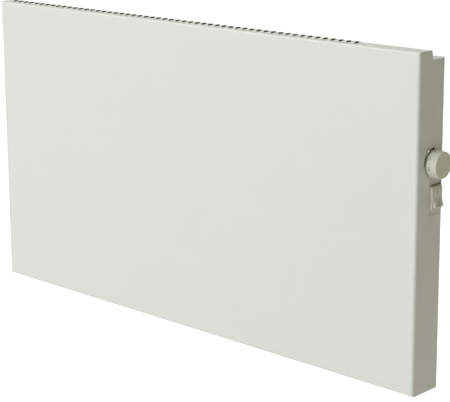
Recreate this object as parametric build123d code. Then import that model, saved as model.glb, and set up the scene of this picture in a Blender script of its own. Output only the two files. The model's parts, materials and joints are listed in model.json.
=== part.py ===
from build123d import *
import os
from math import cos, radians, sin, tan

# Wall panel convector heater. Millimetres, +Z up, +X to the heater's right as it is looked at.
# The front panel faces -Y. The origin is on the wall, at the middle of the bracket's four screw slots.

# Casing
casing_width = 672.0
casing_height = 370.0
front_depth = 22.0          # front casing, front panel to the seam
rear_depth = 22.5           # rear casing, seam to the back sheet
wall_gap = 39.5             # back sheet to the wall
casing_sheet = 0.8
front_bend = 3.0            # outside radius of the bends round the front panel
rear_bend = 2.0
rear_step = 9.2             # the rear casing's top is this much lower than the front casing's
rear_dip = 1.8              # its top flange falls by this much more from the back to the seam
rear_flat = 0.5             # level sheet between the bend at the back and the fall
top_lip_drop = 6.0          # the front casing's rear lip runs this far below the rear casing's top
lap = 8.0                   # the rear casing's joggled lip runs this far into the front casing
lap_clearance = 0.2
seam_clearance = 0.3

bead_radius = 5.0
bead_drops = (60.0, 242.0)  # casing top to the two stiffening beads of the back
bead_margin = 190.0         # side edges of the casing to the beads' ends

# Outlet louvres, pressed out of the front casing's top flange
louvre_pitch = 10.65
louvre_margin = 89.7        # right edge of the casing to the first mouth
louvre_end_margin = 7.0     # least sheet left of the row
louvre_setback = 5.4        # front face to the near end of a louvre
louvre_length = 11.0
louvre_width = 7.4
louvre_rise = 1.7
louvre_taper = 2.2          # each end leans in by this much at the mouth
louvre_sheet = 0.5          # the metal thins where it is drawn

# Inlet slots, punched in both bottom flanges
inlet_pitch = 34.0
inlet_margin = 64.0         # side edges of the casing to the rows
inlet_length = 26.0
inlet_width = 3.6
inlet_setback = 11.0        # front face, or seam, to the middle of each row

# Controls on the right end
knob_setback = 16.5         # back sheet to the thermostat's axis
knob_drop = 119.6           # casing top to the thermostat's axis
knob_radius = 15.1
knob_face_radius = 14.3
knob_height = 11.2
knob_lift = 1.2             # knob's rear edge above the fascia
knob_wall = 1.6
knob_hub_radius = 5.5
knob_edge = 0.8
shaft_radius = 3.0
shaft_flat = 0.9            # depth of the flat on the shaft
shaft_fit = 0.03
fascia_proud = 0.4
fascia_thickness = 2.7
fascia_disc_radius = 14.6
fascia_ear_radius = 3.9
fascia_drop = 174.6         # casing top to the fascia's lower edge
fascia_corner = 2.0
fascia_notch = 0.8          # rounding where the outline's curves and sides meet
fascia_edge = 0.25
fascia_back_margin = 2.1
fascia_clearance = 0.4
fascia_rim = 3.0            # the fascia's rim behind the sheet
relief_radius = 17.0        # opening beside the knob, in its upper front quarter
relief_overlap = 1.5        # above the knob's axis, where the relief starts, and behind it, where it ends
thermostat_depth = 30.0
thermostat_width = 28.0
thermostat_height = 36.0
thermostat_neck_radius = 4.5
thermostat_neck = 2.5
neck_clearance = 0.3
thermostat_bore = 8.0
thermostat_screw_hole = 7.0
shaft_end_gap = 0.5
moulded_corner = 2.5
thermostat_screw_radius = 16.0   # from the axis, 32 mm between the two screws
thermostat_screw_angle = 121.9   # of the upper screw, from +Y towards +Z

# Rocker switch
switch_drop = 156.7         # casing top to the middle of the switch
bezel_width = 18.4
bezel_height = 24.6
bezel_thickness = 2.3
bezel_edge = 0.9
bezel_groove_gap = 0.9      # bezel's top to the finger groove above it
bezel_groove_height = 2.0
bezel_groove_depth = 1.5
switch_width = 16.4
switch_height = 22.0
switch_depth = 23.2
switch_hole_clearance = 0.2
rocker_width = 14.2
rocker_half_length = 9.4
rocker_slope = 10.0         # each half leans out by this much from the middle line
rocker_gap = 0.3
rocker_pivot_depth = 1.7    # below the bezel's face
rocker_valley = 0.2         # the middle line stands above the bezel's face
rocker_pin_radius = 1.2
rocker_pin_fit = 0.06
rocker_pin_reach = 0.6
rocker_well = 9.0           # depth of the switch's well below the pivot
rocker_underside = 2.0      # below the pivot
rocker_stem_length = 3.5
rocker_stem_half = 2.2
bezel_corner = 1.2

# Inner chassis and element
inner_sheet = 0.8
partition_top_gap = 4.0
partition_bottom_gap = 6.0
compartment_width = 74.0    # control compartment, from the casing's right edge
shield_gap = 7.2            # air gap behind the front panel
shield_end_gap = 0.5        # to the partition
shield_left_margin = 36.0
shield_bottom_margin = 25.0
shield_top_margin = 35.0
chassis_flange = 11.0
element_height = 70.0       # casing bottom to the heating rod's axis
element_setback = 17.5      # back sheet to the heating rod's axis
element_margin = 86.0       # left edge of the casing to the left support
element_end_gap = 12.0      # fin body to the supports at each end
arm_length = 27.0
arm_angle = 28.0            # of each arm from the vertical
arm_thickness = 1.8
element_hub_radius = 6.6
rod_radius = 4.25
rod_fit = 0.05
rod_overhang = 9.0          # rod beyond each support
rod_chamfer = 0.5
bush_radius = 6.0
bush_flange_radius = 8.5
bush_flange_thickness = 2.0
bush_tail = 3.0
support_edge = 4.0          # sheet round the bush's flange
bush_fit = 0.05
terminal_pin_radius = 1.6
terminal_pin_length = 4.0
blade_width = 6.3
blade_thickness = 0.8
blade_length = 8.0
blade_taper = 1.5
cutout_drop = 75.0          # casing top to the overheat cut-out
cutout_radius = 8.0
cutout_depth = 10.0
cutout_screw_spacing = 24.0
cutout_nose = 1.5           # the can stands into the duct
cutout_flange = 1.0
cutout_flange_margin = 5.0
bulb_radius = 3.2
bulb_length = 60.0
bulb_height = 25.0          # casing bottom to the sensor bulb's lower end
bulb_gap = 2.0              # to the front lip and the partition
bulb_round = 1.0
clip_height = 6.0
clip_sheet = 1.2
clip_fit = 0.05
clip_gap = 0.3
capillary_bend = 14.0
capillary_radius = 0.8
lead_radius = 1.2
lead_turn = 9.0             # straight run of a lead off a blade
lead_bend = 9.0
lead_bend_small = 5.0
lead_gap = 0.3              # between a lead's end and a blade it turns away from
return_run_setback = 7.0    # heating rod's axis to the lead on the floor
return_run_height = 14.0

# Mains side
block_length = 32.0
block_height = 18.0
block_depth = 14.0
block_base = 73.0           # casing bottom to the terminal block
block_margin = 24.0         # right edge of the casing to the terminal block
pole_pitch = 11.0
pole_radius = 2.4           # wire entries, above and below
pole_depth = 6.0
pole_screw_radius = 2.2
pole_screw_inset = 5.0
pole_groove = 3.0           # depth of the grooves between the poles
pole_groove_width = 1.0
block_corner = 1.5
lead_entry = 3.0            # how far a lead goes into its entry
gland_height = 30.0         # casing bottom to the cable inlet
gland_margin = 36.0         # right edge of the casing to the cable inlet
earth_drop = 22.0           # terminal block to the earth screw
earth_standoff = 3.0
earth_head = 2.4
earth_head_radius = 4.0
gland_bore = 4.0
gland_neck_radius = 6.5
gland_flange_radius = 9.5
gland_length = 12.0
gland_neck_clearance = 0.1
gland_outer_lip = 2.0
gland_inner_lip = 1.6
gland_chamfer = 0.6

# Wall bracket
bracket_sheet = 1.5
upright_margin = 136.0      # side edges of the casing to the middle of each upright
upright_width = 34.0
upright_flange = 14.0
upright_bottom = 150.0      # below the origin
rail_spacing = 200.0
rail_height = 36.0
rail_overhang = 39.0        # middle of an upright to the rail's end
rail_corner = 4.0
lightening_radius = 9.0
screw_slot_inset = 50.0     # middle of an upright to the wall slots, towards the middle
screw_slot_length = 12.0
screw_slot_radius = 2.75
pad_thickness = 2.0
pad_radius = 6.0
pad_spacing = 120.0
pad_clearance = 0.1
hook_width = 16.0
hook_upper = 105.0          # seat of the upper hooks, above the origin
hook_lower = -122.0
hook_reach = 10.0           # height of the tongue above its seat
hook_clearance = 0.7        # tongue to the back sheet
hook_slot_side = 2.5
hook_lance = 3.0            # window above the tongue it was bent from
hook_chamfer = 3.0
hook_slot_spare = 1.0
hook_seat_clearance = 0.1
lift_travel = 12.0          # the heater lifts this far to clear the tongues
latch_width = 11.0
latch_length = 24.0
latch_thickness = 2.0
latch_setback = 6.5         # back sheet to the latch's pivot
latch_clearance = 0.3       # above the rear casing's top
latch_play = 0.1
latch_grip = 2.0
latch_grip_inset = 2.5
latch_grip_rise = 0.7
pivot_radius = 2.0
pivot_fit = 0.06
pivot_foot_radius = 2.8
pivot_head = 0.6
rivet_radius = 2.0
rivet_clearance = 0.1
rivet_head_radius = 3.6
rivet_head = 1.2

# Screws and rivets
blind_rivet_radius = 1.6
blind_rivet_head = 0.8
blind_rivet_tail = 1.5
rivet_inset = 60.0          # casing's top and bottom to the chassis rivets
screw_radius = 1.9
screw_head_radius = 3.6
screw_head = 1.8
screw_hole_clearance = 0.15
casing_screw_length = 8.0
casing_screw_share = (0.26, 0.74)   # of the half width, on each side
thermostat_screw_length = 6.0
cutout_screw_length = 3.0
thermostat_thread_radius = 1.25
thermostat_head_radius = 2.1
thermostat_head_recess = 1.8
thermostat_head_gap = 0.8   # shadow gap round the head
thermostat_head_edge = 0.4

# Planes and places that follow from the sizes
half_width = casing_width / 2
top_z = casing_height / 2
bottom_z = -casing_height / 2
back_y = -wall_gap
seam_y = back_y - rear_depth
front_y = seam_y - front_depth
rear_top_z = top_z - rear_step
inner_back_y = back_y - casing_sheet
inner_side_x = half_width - casing_sheet
fascia_face_x = half_width + fascia_proud
fascia_back_x = fascia_face_x - fascia_thickness
knob_y = back_y - knob_setback
knob_z = top_z - knob_drop
fascia_front_y = seam_y + fascia_clearance
fascia_rear_y = back_y - fascia_back_margin
fascia_bottom_z = top_z - fascia_drop
switch_y = (fascia_front_y + fascia_rear_y) / 2
switch_z = top_z - switch_drop
bezel_face_x = fascia_face_x + bezel_thickness
pivot_x = bezel_face_x - rocker_pivot_depth
partition_x = half_width - compartment_width
shield_y = front_y + casing_sheet + shield_gap
shield_left_x = -half_width + shield_left_margin
shield_bottom_z = bottom_z + shield_bottom_margin
shield_top_z = top_z - shield_top_margin
element_y = back_y - element_setback
element_z = bottom_z + element_height
element_right_x = partition_x - element_end_gap
support_left_x = -half_width + element_margin
element_left_x = support_left_x + element_end_gap
rod_left_x = support_left_x - rod_overhang
rod_right_x = partition_x + inner_sheet + rod_overhang
cutout_z = top_z - cutout_drop
block_right_x = half_width - block_margin
block_left_x = block_right_x - block_length
block_top_z = bottom_z + block_base + block_height
block_y = inner_back_y - block_depth / 2
gland_x = half_width - gland_margin
gland_z = bottom_z + gland_height
upright_x = half_width - upright_margin
upright_front_y = back_y + pad_clearance + pad_thickness
upright_top_z = rear_top_z + latch_clearance - latch_play
latch_y = back_y + latch_setback
hook_tongue_y = inner_back_y - hook_clearance


def block(x0, x1, y0, y1, z0, z1):
    return Pos((x0 + x1) / 2, (y0 + y1) / 2, (z0 + z1) / 2) * Box(x1 - x0, y1 - y0, z1 - z0)


def rod_x(x0, x1, y, z, radius):
    return Pos((x0 + x1) / 2, y, z) * Rot(0, 90, 0) * Cylinder(radius, x1 - x0)


def rod_y(y0, y1, x, z, radius):
    return Pos(x, (y0 + y1) / 2, z) * Rot(90, 0, 0) * Cylinder(radius, y1 - y0)


def rod_z(z0, z1, x, y, radius):
    return Pos(x, y, (z0 + z1) / 2) * Cylinder(radius, z1 - z0)


def wire(points, radius, bend):
    # A round wire along straight runs joined by tangent arcs, square to its first run.
    path = FilletPolyline(*points, radius=bend)
    start = Plane(origin=points[0], z_dir=Vector(*points[1]) - Vector(*points[0]))
    return sweep(start * Circle(radius), path=path)


# ---- casings ----

def louvre_centres():
    first = half_width - louvre_margin - louvre_width
    count = int((casing_width - louvre_margin - louvre_end_margin) / louvre_pitch)
    return [first - n * louvre_pitch for n in range(count)]


def louvre_wedge(x, heel, mouth, y0, y1, lean, floor, heel_top, mouth_top):
    # A hood that opens to +X: a low section at its heel and the tall one at its mouth.
    def section(at, top, inset):
        outline = Polyline(
            (at, y0, floor), (at, y1, floor), (at, y1 - inset, top), (at, y0 + inset, top), close=True
        )
        return make_face(outline)

    heel_inset = lean * (heel_top - floor) / (mouth_top - floor)
    return loft([section(x + heel, heel_top, heel_inset), section(x + mouth, mouth_top, lean)], ruled=True)


def louvre_hoods():
    y0 = front_y + louvre_setback
    y1 = y0 + louvre_length
    base = top_z - casing_sheet / 2
    return [
        louvre_wedge(x, 0, louvre_width, y0, y1, louvre_taper, base, top_z, top_z + louvre_rise)
        for x in louvre_centres()
    ]


def louvre_throats():
    # The hollow of each hood, cut on through the flange, which leaves the mouth open.
    y0 = front_y + louvre_setback + louvre_sheet
    y1 = y0 + louvre_length - 2 * louvre_sheet
    base = top_z - 2 * casing_sheet
    heel_top = top_z - casing_sheet + louvre_sheet / 2
    mouth_top = top_z + louvre_rise - louvre_sheet
    return [
        louvre_wedge(x, louvre_sheet, louvre_width, y0, y1, louvre_taper, base, heel_top, mouth_top)
        for x in louvre_centres()
    ]


def inlet_row(y):
    count = int((casing_width - 2 * inlet_margin) / inlet_pitch)
    start = -(count - 1) * inlet_pitch / 2
    low = bottom_z - casing_sheet
    high = bottom_z + 3 * casing_sheet
    return [
        block(
            start + n * inlet_pitch - inlet_length / 2, start + n * inlet_pitch + inlet_length / 2,
            y - inlet_width / 2, y + inlet_width / 2, low, high,
        )
        for n in range(count)
    ]


def ear_centre(side):
    # Middle of a thermostat screw, on the line through the axis.
    angle = radians(thermostat_screw_angle)
    return (
        knob_y + side * thermostat_screw_radius * cos(angle),
        knob_z + side * thermostat_screw_radius * sin(angle),
    )


def fascia_prism(x0, x1, grow, relief):
    # Outline of the fascia: a disc behind the knob, an ear for a screw and a rectangle round the switch.
    low = fascia_bottom_z - grow
    width = fascia_rear_y - fascia_front_y + 2 * grow
    plate = Pos(switch_y, (low + knob_z) / 2) * Rectangle(width, knob_z - low)
    plate = fillet(plate.vertices().group_by(Axis.Y)[0], fascia_corner)
    disc_radius = fascia_disc_radius + grow
    beyond_y = fascia_rear_y + grow + disc_radius
    beyond = Pos(beyond_y, knob_z) * Rectangle(2 * disc_radius, 4 * disc_radius)
    outline = plate + Pos(knob_y, knob_z) * Circle(disc_radius)
    outline = outline + Pos(*ear_centre(1)) * Circle(fascia_ear_radius + grow) - beyond
    outline = outline + relief
    notches = [corner for corner in outline.vertices() if corner.Y > low + 2 * fascia_corner]
    outline = fillet(notches, fascia_notch)
    plane = Plane(origin=(x0, 0, 0), x_dir=(0, 1, 0), z_dir=(1, 0, 0))
    return extrude(plane * outline, x1 - x0)


def fascia_opening():
    # The casings' opening is wider than the fascia in the upper front quarter round the knob.
    width = relief_radius + relief_overlap
    height = relief_radius - relief_overlap
    quarter = Pos(knob_y + relief_overlap - width / 2, knob_z + relief_overlap + height / 2)
    relief = Pos(knob_y, knob_z) * Circle(relief_radius) & quarter * Rectangle(width, height)
    return fascia_prism(
        half_width - 5 * casing_sheet, half_width + casing_sheet, fascia_clearance, relief,
    )


def fascia_lip_notch():
    # Room for the fascia's rim where the rear casing's lip would pass behind it.
    low = fascia_bottom_z - fascia_rim - fascia_clearance
    high = knob_z + relief_radius
    return block(
        half_width - 4 * casing_sheet, inner_side_x, seam_y - lap - 1, seam_y + 2 * casing_sheet, low, high
    )


def front_casing():
    # Folded tray: front panel, four flanges and a lip turned down along the back of the top flange.
    shell = block(-half_width, half_width, front_y, seam_y, bottom_z, top_z)
    front_edges = shell.edges().group_by(Axis.Y)[0]
    top_rear_edge = shell.edges().filter_by(Axis.X).group_by(Axis.Y)[-1].sort_by(Axis.Z)[-1]
    shell = fillet(front_edges + [top_rear_edge], front_bend)
    inner_bend = front_bend - casing_sheet
    tray = block(
        -inner_side_x, inner_side_x, front_y + casing_sheet, seam_y - casing_sheet,
        bottom_z + casing_sheet, top_z - casing_sheet,
    )
    tray_edges = tray.edges().group_by(Axis.Y)[0]
    tray_top_rear = tray.edges().filter_by(Axis.X).group_by(Axis.Y)[-1].sort_by(Axis.Z)[-1]
    tray = fillet(tray_edges + [tray_top_rear], inner_bend)
    mouth = block(
        -inner_side_x, inner_side_x, seam_y - 2 * casing_sheet, seam_y + casing_sheet,
        bottom_z + casing_sheet, rear_top_z - top_lip_drop,
    )
    shell = shell - tray - mouth
    shell = shell + louvre_hoods()
    shell = shell - louvre_throats()
    shell = shell - inlet_row(front_y + inlet_setback)
    shell = shell - fascia_opening()
    return shell - [
        rod_z(bottom_z - 1, bottom_z + 1 + casing_sheet, x, y, screw_radius + screw_hole_clearance)
        for x, y in casing_screw_places()
    ]


def rear_casing():
    # Folded tray behind the seam, with a lip that runs inside the front casing on three sides.
    shell = block(-half_width, half_width, seam_y, back_y, bottom_z, rear_top_z)
    shell = fillet(shell.edges().group_by(Axis.Y)[-1], rear_bend) - above_rear_top(0)
    tray = block(
        -inner_side_x, inner_side_x, seam_y - 1, inner_back_y,
        bottom_z + casing_sheet, rear_top_z - casing_sheet,
    )
    tray = fillet(tray.edges().group_by(Axis.Y)[-1], rear_bend - casing_sheet) - above_rear_top(casing_sheet)
    shell = shell - tray
    shell = shell - block(
        -inner_side_x, inner_side_x, seam_y - 1, seam_y + seam_clearance,
        rear_top_z - rear_dip - 2 * casing_sheet, rear_top_z + 1,
    )
    offset = casing_sheet + lap_clearance
    lip_top = rear_top_z - top_lip_drop - 1
    outer = block(
        -half_width + offset, half_width - offset, seam_y - lap, seam_y + casing_sheet,
        bottom_z + offset, lip_top,
    )
    inset = offset + casing_sheet
    lip = outer - block(
        -half_width + inset, half_width - inset, seam_y - lap - 1, seam_y + 2 * casing_sheet,
        bottom_z + inset, lip_top + 1,
    )
    shell = shell + lip + rear_joggle(inset, lip_top)
    shell = shell + block(
        -inner_side_x, inner_side_x, seam_y + seam_clearance, seam_y + seam_clearance + casing_sheet,
        rear_top_z - lap, rear_top_z - rear_dip - casing_sheet / 2,
    )
    shell = shell - inlet_row(seam_y + inlet_setback)
    shell = shell - fascia_opening() - fascia_lip_notch()
    shell = shell - [hook_slot(x, level) for x in upright_places() for level in (hook_upper, hook_lower)]
    shell = shell - rod_y(inner_back_y - 1, back_y + 1, gland_x, gland_z, gland_neck_radius)
    shell = shell + back_beads(casing_sheet) - back_beads(0)
    shell = shell - rivet_holes()
    return shell - [
        rod_z(bottom_z, bottom_z + inset + 1, x, y, screw_radius) for x, y in casing_screw_places()
    ]


def above_rear_top(drop):
    # The room above the rear casing's top flange, which falls towards the seam, or above its underside.
    start_y = seam_y - 1
    end_y = back_y - rear_bend - rear_flat
    fall = rear_dip * (end_y - start_y) / (end_y - seam_y)
    outline = Polyline(
        (start_y, rear_top_z - drop - fall), (end_y, rear_top_z - drop),
        (end_y, rear_top_z + rear_step), (start_y, rear_top_z + rear_step), close=True
    )
    plane = Plane(origin=(-half_width - 1, 0, 0), x_dir=(0, 1, 0), z_dir=(1, 0, 0))
    return extrude(plane * make_face(outline), casing_width + 2)


def rear_joggle(inset, lip_top):
    # The step that carries the lip, one sheet thick, just behind the seam.
    outer = block(-half_width, half_width, seam_y, seam_y + casing_sheet, bottom_z, lip_top)
    inner = block(
        -half_width + inset, half_width - inset, seam_y - 1, seam_y + 2 * casing_sheet,
        bottom_z + inset, lip_top + 1,
    )
    return outer - inner


def back_beads(grow):
    # Two stiffening beads pressed into the back sheet from outside, or their outer skin.
    half = half_width - bead_margin + grow
    keep = block(-half, half, back_y - 2 * bead_radius, back_y, bottom_z, top_z)
    axis_y = back_y + bead_radius / 2
    return [rod_x(-half, half, axis_y, top_z - drop, bead_radius + grow) & keep for drop in bead_drops]


def hook_slot(x, level):
    half = hook_width / 2 + hook_slot_side
    low = level - bracket_sheet - lift_travel - hook_slot_spare
    return block(x - half, x + half, inner_back_y - 1, back_y + 1, low, level + hook_seat_clearance)


def casing_screw_places():
    y = seam_y - lap / 2
    return [(side * share * half_width, y) for side in (-1, 1) for share in casing_screw_share]


def casing_screws():
    # Four self-tapping screws through the front casing's bottom flange into the rear casing's lip.
    tip = bottom_z + casing_screw_length
    return Compound([
        rod_z(bottom_z - screw_head, bottom_z, x, y, screw_head_radius)
        + rod_z(bottom_z, tip, x, y, screw_radius)
        for x, y in casing_screw_places()
    ])


# ---- controls ----

def control_fascia():
    plate = fascia_prism(fascia_back_x, fascia_face_x, 0, [])
    plate = fillet(plate.edges().group_by(Axis.X)[-1], fascia_edge)
    rim_front = seam_y - fascia_rim
    rim = block(
        fascia_back_x, inner_side_x, rim_front, fascia_rear_y,
        fascia_bottom_z - fascia_rim, knob_z - relief_radius,
    )
    plate = plate + rim
    neck_hole = thermostat_neck_radius + neck_clearance
    plate = plate - rod_x(fascia_back_x - 1, fascia_face_x + 1, knob_y, knob_z, neck_hole)
    hole_y = switch_width / 2 + switch_hole_clearance
    hole_z = switch_height / 2 + switch_hole_clearance
    plate = plate - block(
        fascia_back_x - 1, fascia_face_x + 1, switch_y - hole_y, switch_y + hole_y,
        switch_z - hole_z, switch_z + hole_z,
    )
    groove_low = switch_z + bezel_height / 2 + bezel_groove_gap
    plate = plate - block(
        fascia_face_x - bezel_groove_depth, fascia_face_x + 1,
        switch_y - bezel_width / 2, switch_y + bezel_width / 2, groove_low, groove_low + bezel_groove_height,
    )
    for side in (1, -1):
        y, z = ear_centre(side)
        hole_radius = thermostat_thread_radius + screw_hole_clearance
        hole = rod_x(fascia_back_x - 1, fascia_face_x + 1, y, z, hole_radius)
        recess = rod_x(
            fascia_face_x - thermostat_head_recess, fascia_face_x + 1, y, z,
            thermostat_head_radius + thermostat_head_gap,
        )
        plate = plate - hole - recess
    return plate


def thermostat_body():
    x0 = fascia_back_x - thermostat_depth
    half_y = thermostat_width / 2
    half_z = thermostat_height / 2
    case = block(x0, fascia_back_x, knob_y - half_y, knob_y + half_y, knob_z - half_z, knob_z + half_z)
    case = fillet(case.edges().filter_by(Axis.X), moulded_corner)
    neck_end = fascia_back_x + thermostat_neck
    case = case + rod_x(fascia_back_x, neck_end, knob_y, knob_z, thermostat_neck_radius)
    bore_start = fascia_back_x - thermostat_bore
    case = case - rod_x(bore_start, neck_end + 1, knob_y, knob_z, shaft_radius + shaft_fit)
    hole_start = fascia_back_x - thermostat_screw_hole
    for side in (1, -1):
        y, z = ear_centre(side)
        case = case - rod_x(hole_start, fascia_back_x + 1, y, z, thermostat_thread_radius)
    return case


def blade(x0, x1, y, z):
    # Push-on terminal with a tapered tip towards x0.
    half_y = blade_thickness / 2
    half_z = blade_width / 2
    tab = block(x0, x1, y - half_y, y + half_y, z - half_z, z + half_z)
    return chamfer(tab.edges().filter_by(Axis.Y).group_by(Axis.X)[0], blade_taper)


def thermostat_blade_places():
    return [(knob_y, knob_z + side * thermostat_height / 4) for side in (-1, 1)]


def thermostat_terminals():
    x1 = fascia_back_x - thermostat_depth
    return Compound([blade(x1 - blade_length, x1, y, z) for y, z in thermostat_blade_places()])


def thermostat_shaft():
    x0 = fascia_back_x - thermostat_bore + shaft_end_gap
    x1 = fascia_face_x + knob_lift + knob_height - knob_wall - 1
    shaft = rod_x(x0, x1, knob_y, knob_z, shaft_radius)
    flat = block(
        fascia_face_x + knob_lift, x1 + 1, knob_y - shaft_radius, knob_y + shaft_radius,
        knob_z + shaft_radius - shaft_flat, knob_z + shaft_radius + 1,
    )
    return shaft - flat


def thermostat_knob():
    # Turned profile: plain face, drafted rim, hollow back and a hub with a D-shaped bore.
    rear = fascia_face_x + knob_lift
    face = rear + knob_height
    outline = Polyline(
        (0, 0), (knob_radius, 0), (knob_face_radius, knob_height), (0, knob_height), close=True
    )
    turned = revolve(make_face(Plane.XZ * outline), Axis.Z)
    turned = fillet(turned.edges().group_by(Axis.Z)[-1], knob_edge)
    hollow = Pos(0, 0, (knob_height - knob_wall) / 2) * (
        Cylinder(knob_face_radius - knob_wall, knob_height - knob_wall)
        - Cylinder(knob_hub_radius, knob_height - knob_wall)
    )
    turned = turned - hollow
    knob = Pos(rear, knob_y, knob_z) * Rot(0, 90, 0) * turned
    bore = rod_x(rear - 1, face - knob_wall - 1 + shaft_fit, knob_y, knob_z, shaft_radius + shaft_fit)
    bore = bore - block(
        rear - 2, face, knob_y - knob_radius, knob_y + knob_radius,
        knob_z + shaft_radius - shaft_flat + shaft_fit, knob_z + knob_radius,
    )
    return knob - bore


def thermostat_screws():
    seat = fascia_face_x - thermostat_head_recess
    screws = []
    for side in (1, -1):
        y, z = ear_centre(side)
        head = rod_x(seat, fascia_face_x, y, z, thermostat_head_radius)
        head = chamfer(head.edges().group_by(Axis.X)[-1], thermostat_head_edge)
        tip = fascia_back_x - thermostat_screw_length
        screws.append(head + rod_x(tip, seat, y, z, thermostat_thread_radius))
    return Compound(screws)


def switch_body():
    # Snap-in body with a raised bezel and a well for the rocker.
    x0 = fascia_face_x - switch_depth
    half_y = switch_width / 2
    half_z = switch_height / 2
    case = block(
        x0, fascia_face_x, switch_y - half_y, switch_y + half_y, switch_z - half_z, switch_z + half_z
    )
    bezel = block(
        fascia_face_x, bezel_face_x, switch_y - bezel_width / 2, switch_y + bezel_width / 2,
        switch_z - bezel_height / 2, switch_z + bezel_height / 2,
    )
    bezel = fillet(bezel.edges().filter_by(Axis.X), bezel_corner)
    bezel = fillet(bezel.edges().group_by(Axis.X)[-1], bezel_edge)
    well_y = rocker_width / 2 + rocker_gap
    well_z = rocker_reach() + rocker_gap
    well = block(
        pivot_x - rocker_well, bezel_face_x + 1, switch_y - well_y, switch_y + well_y,
        switch_z - well_z, switch_z + well_z,
    )
    pin_half = rocker_width / 2 + rocker_gap + rocker_pin_reach
    pin_hole = rocker_pin_radius + rocker_pin_fit
    pins = rod_y(switch_y - pin_half, switch_y + pin_half, pivot_x, switch_z, pin_hole)
    return case + bezel - well - pins


def rocker_end():
    # Height of the rocker's ends above its pivot, in the neutral position.
    return rocker_pivot_depth + rocker_valley + rocker_half_length * tan(radians(rocker_slope))


def rocker_reach():
    return (rocker_half_length ** 2 + rocker_end() ** 2) ** 0.5


def switch_rocker():
    # Two flat halves that meet in a shallow valley, ends rounded about the pivot, and a stem below.
    reach = rocker_reach()
    low = -rocker_underside
    low_z = (reach ** 2 - low ** 2) ** 0.5
    stem = rocker_stem_half
    stem_low = low - rocker_stem_length
    valley = rocker_pivot_depth + rocker_valley
    top = Line((valley, 0, 0), (rocker_end(), 0, rocker_half_length))
    upper = ThreePointArc((rocker_end(), 0, rocker_half_length), (0, 0, reach), (low, 0, low_z))
    under = Polyline(
        (low, 0, low_z), (low, 0, stem), (stem_low, 0, stem), (stem_low, 0, -stem), (low, 0, -stem),
        (low, 0, -low_z),
    )
    lower = ThreePointArc((low, 0, -low_z), (0, 0, -reach), (rocker_end(), 0, -rocker_half_length))
    bottom = Line((rocker_end(), 0, -rocker_half_length), (valley, 0, 0))
    side = make_face([top, upper, under, lower, bottom])
    body = extrude(side, rocker_width / 2, both=True)
    body = body + rod_y(
        -rocker_width / 2 - rocker_gap - rocker_pin_reach / 2,
        rocker_width / 2 + rocker_gap + rocker_pin_reach / 2, 0, 0, rocker_pin_radius,
    )
    return Pos(pivot_x, switch_y, switch_z) * Rot(0, -rocker_slope, 0) * body


def switch_blade_places():
    return [
        (switch_y + side_y * switch_width / 4, switch_z + side_z * switch_height / 4)
        for side_y in (-1, 1)
        for side_z in (-1, 1)
    ]


def switch_terminals():
    x1 = fascia_face_x - switch_depth
    return Compound([blade(x1 - blade_length, x1, y, z) for y, z in switch_blade_places()])


# ---- inner chassis, element and wiring ----

def partition_plate():
    # Wall between the hot duct and the controls, with a foot on the back sheet.
    top = rear_top_z - top_lip_drop - partition_top_gap
    low = bottom_z + partition_bottom_gap
    front = shield_y + inner_sheet
    web = block(partition_x, partition_x + inner_sheet, front, inner_back_y, low, top)
    foot = block(
        partition_x, partition_x + chassis_flange, inner_back_y - inner_sheet, inner_back_y, low, top
    )
    lip = block(
        partition_x - chassis_flange, partition_x + inner_sheet, front, front + inner_sheet, low, top
    )
    plate = web + foot + lip
    plate = plate - rod_x(partition_x - 1, partition_x + 2, element_y, element_z, bush_radius)
    plate = plate - rod_x(
        partition_x - 1, partition_x + 2, element_y, cutout_z, cutout_radius + screw_hole_clearance
    )
    for side in (-1, 1):
        hole_z = cutout_z + side * cutout_screw_spacing / 2
        plate = plate - rod_x(partition_x - 1, partition_x + 2, element_y, hole_z, screw_radius)
    plate = plate - rivet_holes()
    return plate - rod_x(partition_x - 1, partition_x + 2, return_run_y(), return_run_z(), 2 * lead_radius)


def return_run_y():
    return element_y - return_run_setback


def return_run_z():
    return bottom_z + return_run_height


def heat_shield():
    # Bright plate between the element and the front panel, folded back to the rear casing at its left.
    right = partition_x - shield_end_gap
    side_end = shield_left_x + inner_sheet
    web = block(shield_left_x, right, shield_y, shield_y + inner_sheet, shield_bottom_z, shield_top_z)
    side = block(shield_left_x, side_end, shield_y, inner_back_y, shield_bottom_z, shield_top_z)
    foot = block(
        shield_left_x, shield_left_x + chassis_flange, inner_back_y - inner_sheet, inner_back_y,
        shield_bottom_z, shield_top_z,
    )
    lip = block(
        shield_left_x, right - chassis_flange, shield_y, shield_y + chassis_flange / 2,
        shield_top_z - inner_sheet, shield_top_z,
    )
    return web + side + foot + lip - rivet_holes()


def element_bracket():
    half = arm_length
    front = element_y - bush_flange_radius - support_edge
    web = block(
        support_left_x, support_left_x + inner_sheet, front, inner_back_y,
        element_z - half / 2, element_z + half / 2,
    )
    foot = block(
        support_left_x, support_left_x + chassis_flange, inner_back_y - inner_sheet, inner_back_y,
        element_z - half, element_z + half,
    )
    bracket = web + foot - rivet_holes()
    return bracket - rod_x(support_left_x - 1, support_left_x + 2, element_y, element_z, bush_radius)


def element_bush(x, facing):
    # Insulating bush through a support, its flange on the side of the fin body.
    sheet_end = x + inner_sheet if facing > 0 else x
    flange_end = sheet_end + facing * bush_flange_thickness
    tail_end = (x if facing > 0 else x + inner_sheet) - facing * bush_tail
    x0, x1 = sorted((sheet_end, flange_end))
    flange = rod_x(x0, x1, element_y, element_z, bush_flange_radius)
    x0, x1 = sorted((tail_end, sheet_end))
    tail = rod_x(x0, x1, element_y, element_z, bush_radius - bush_fit)
    bore = rod_x(x - rod_overhang, x + rod_overhang, element_y, element_z, rod_radius + bush_fit)
    return flange + tail - bore


def heating_rod():
    rod = rod_x(rod_left_x, rod_right_x, element_y, element_z, rod_radius)
    return chamfer(rod.edges(), rod_chamfer)


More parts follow.
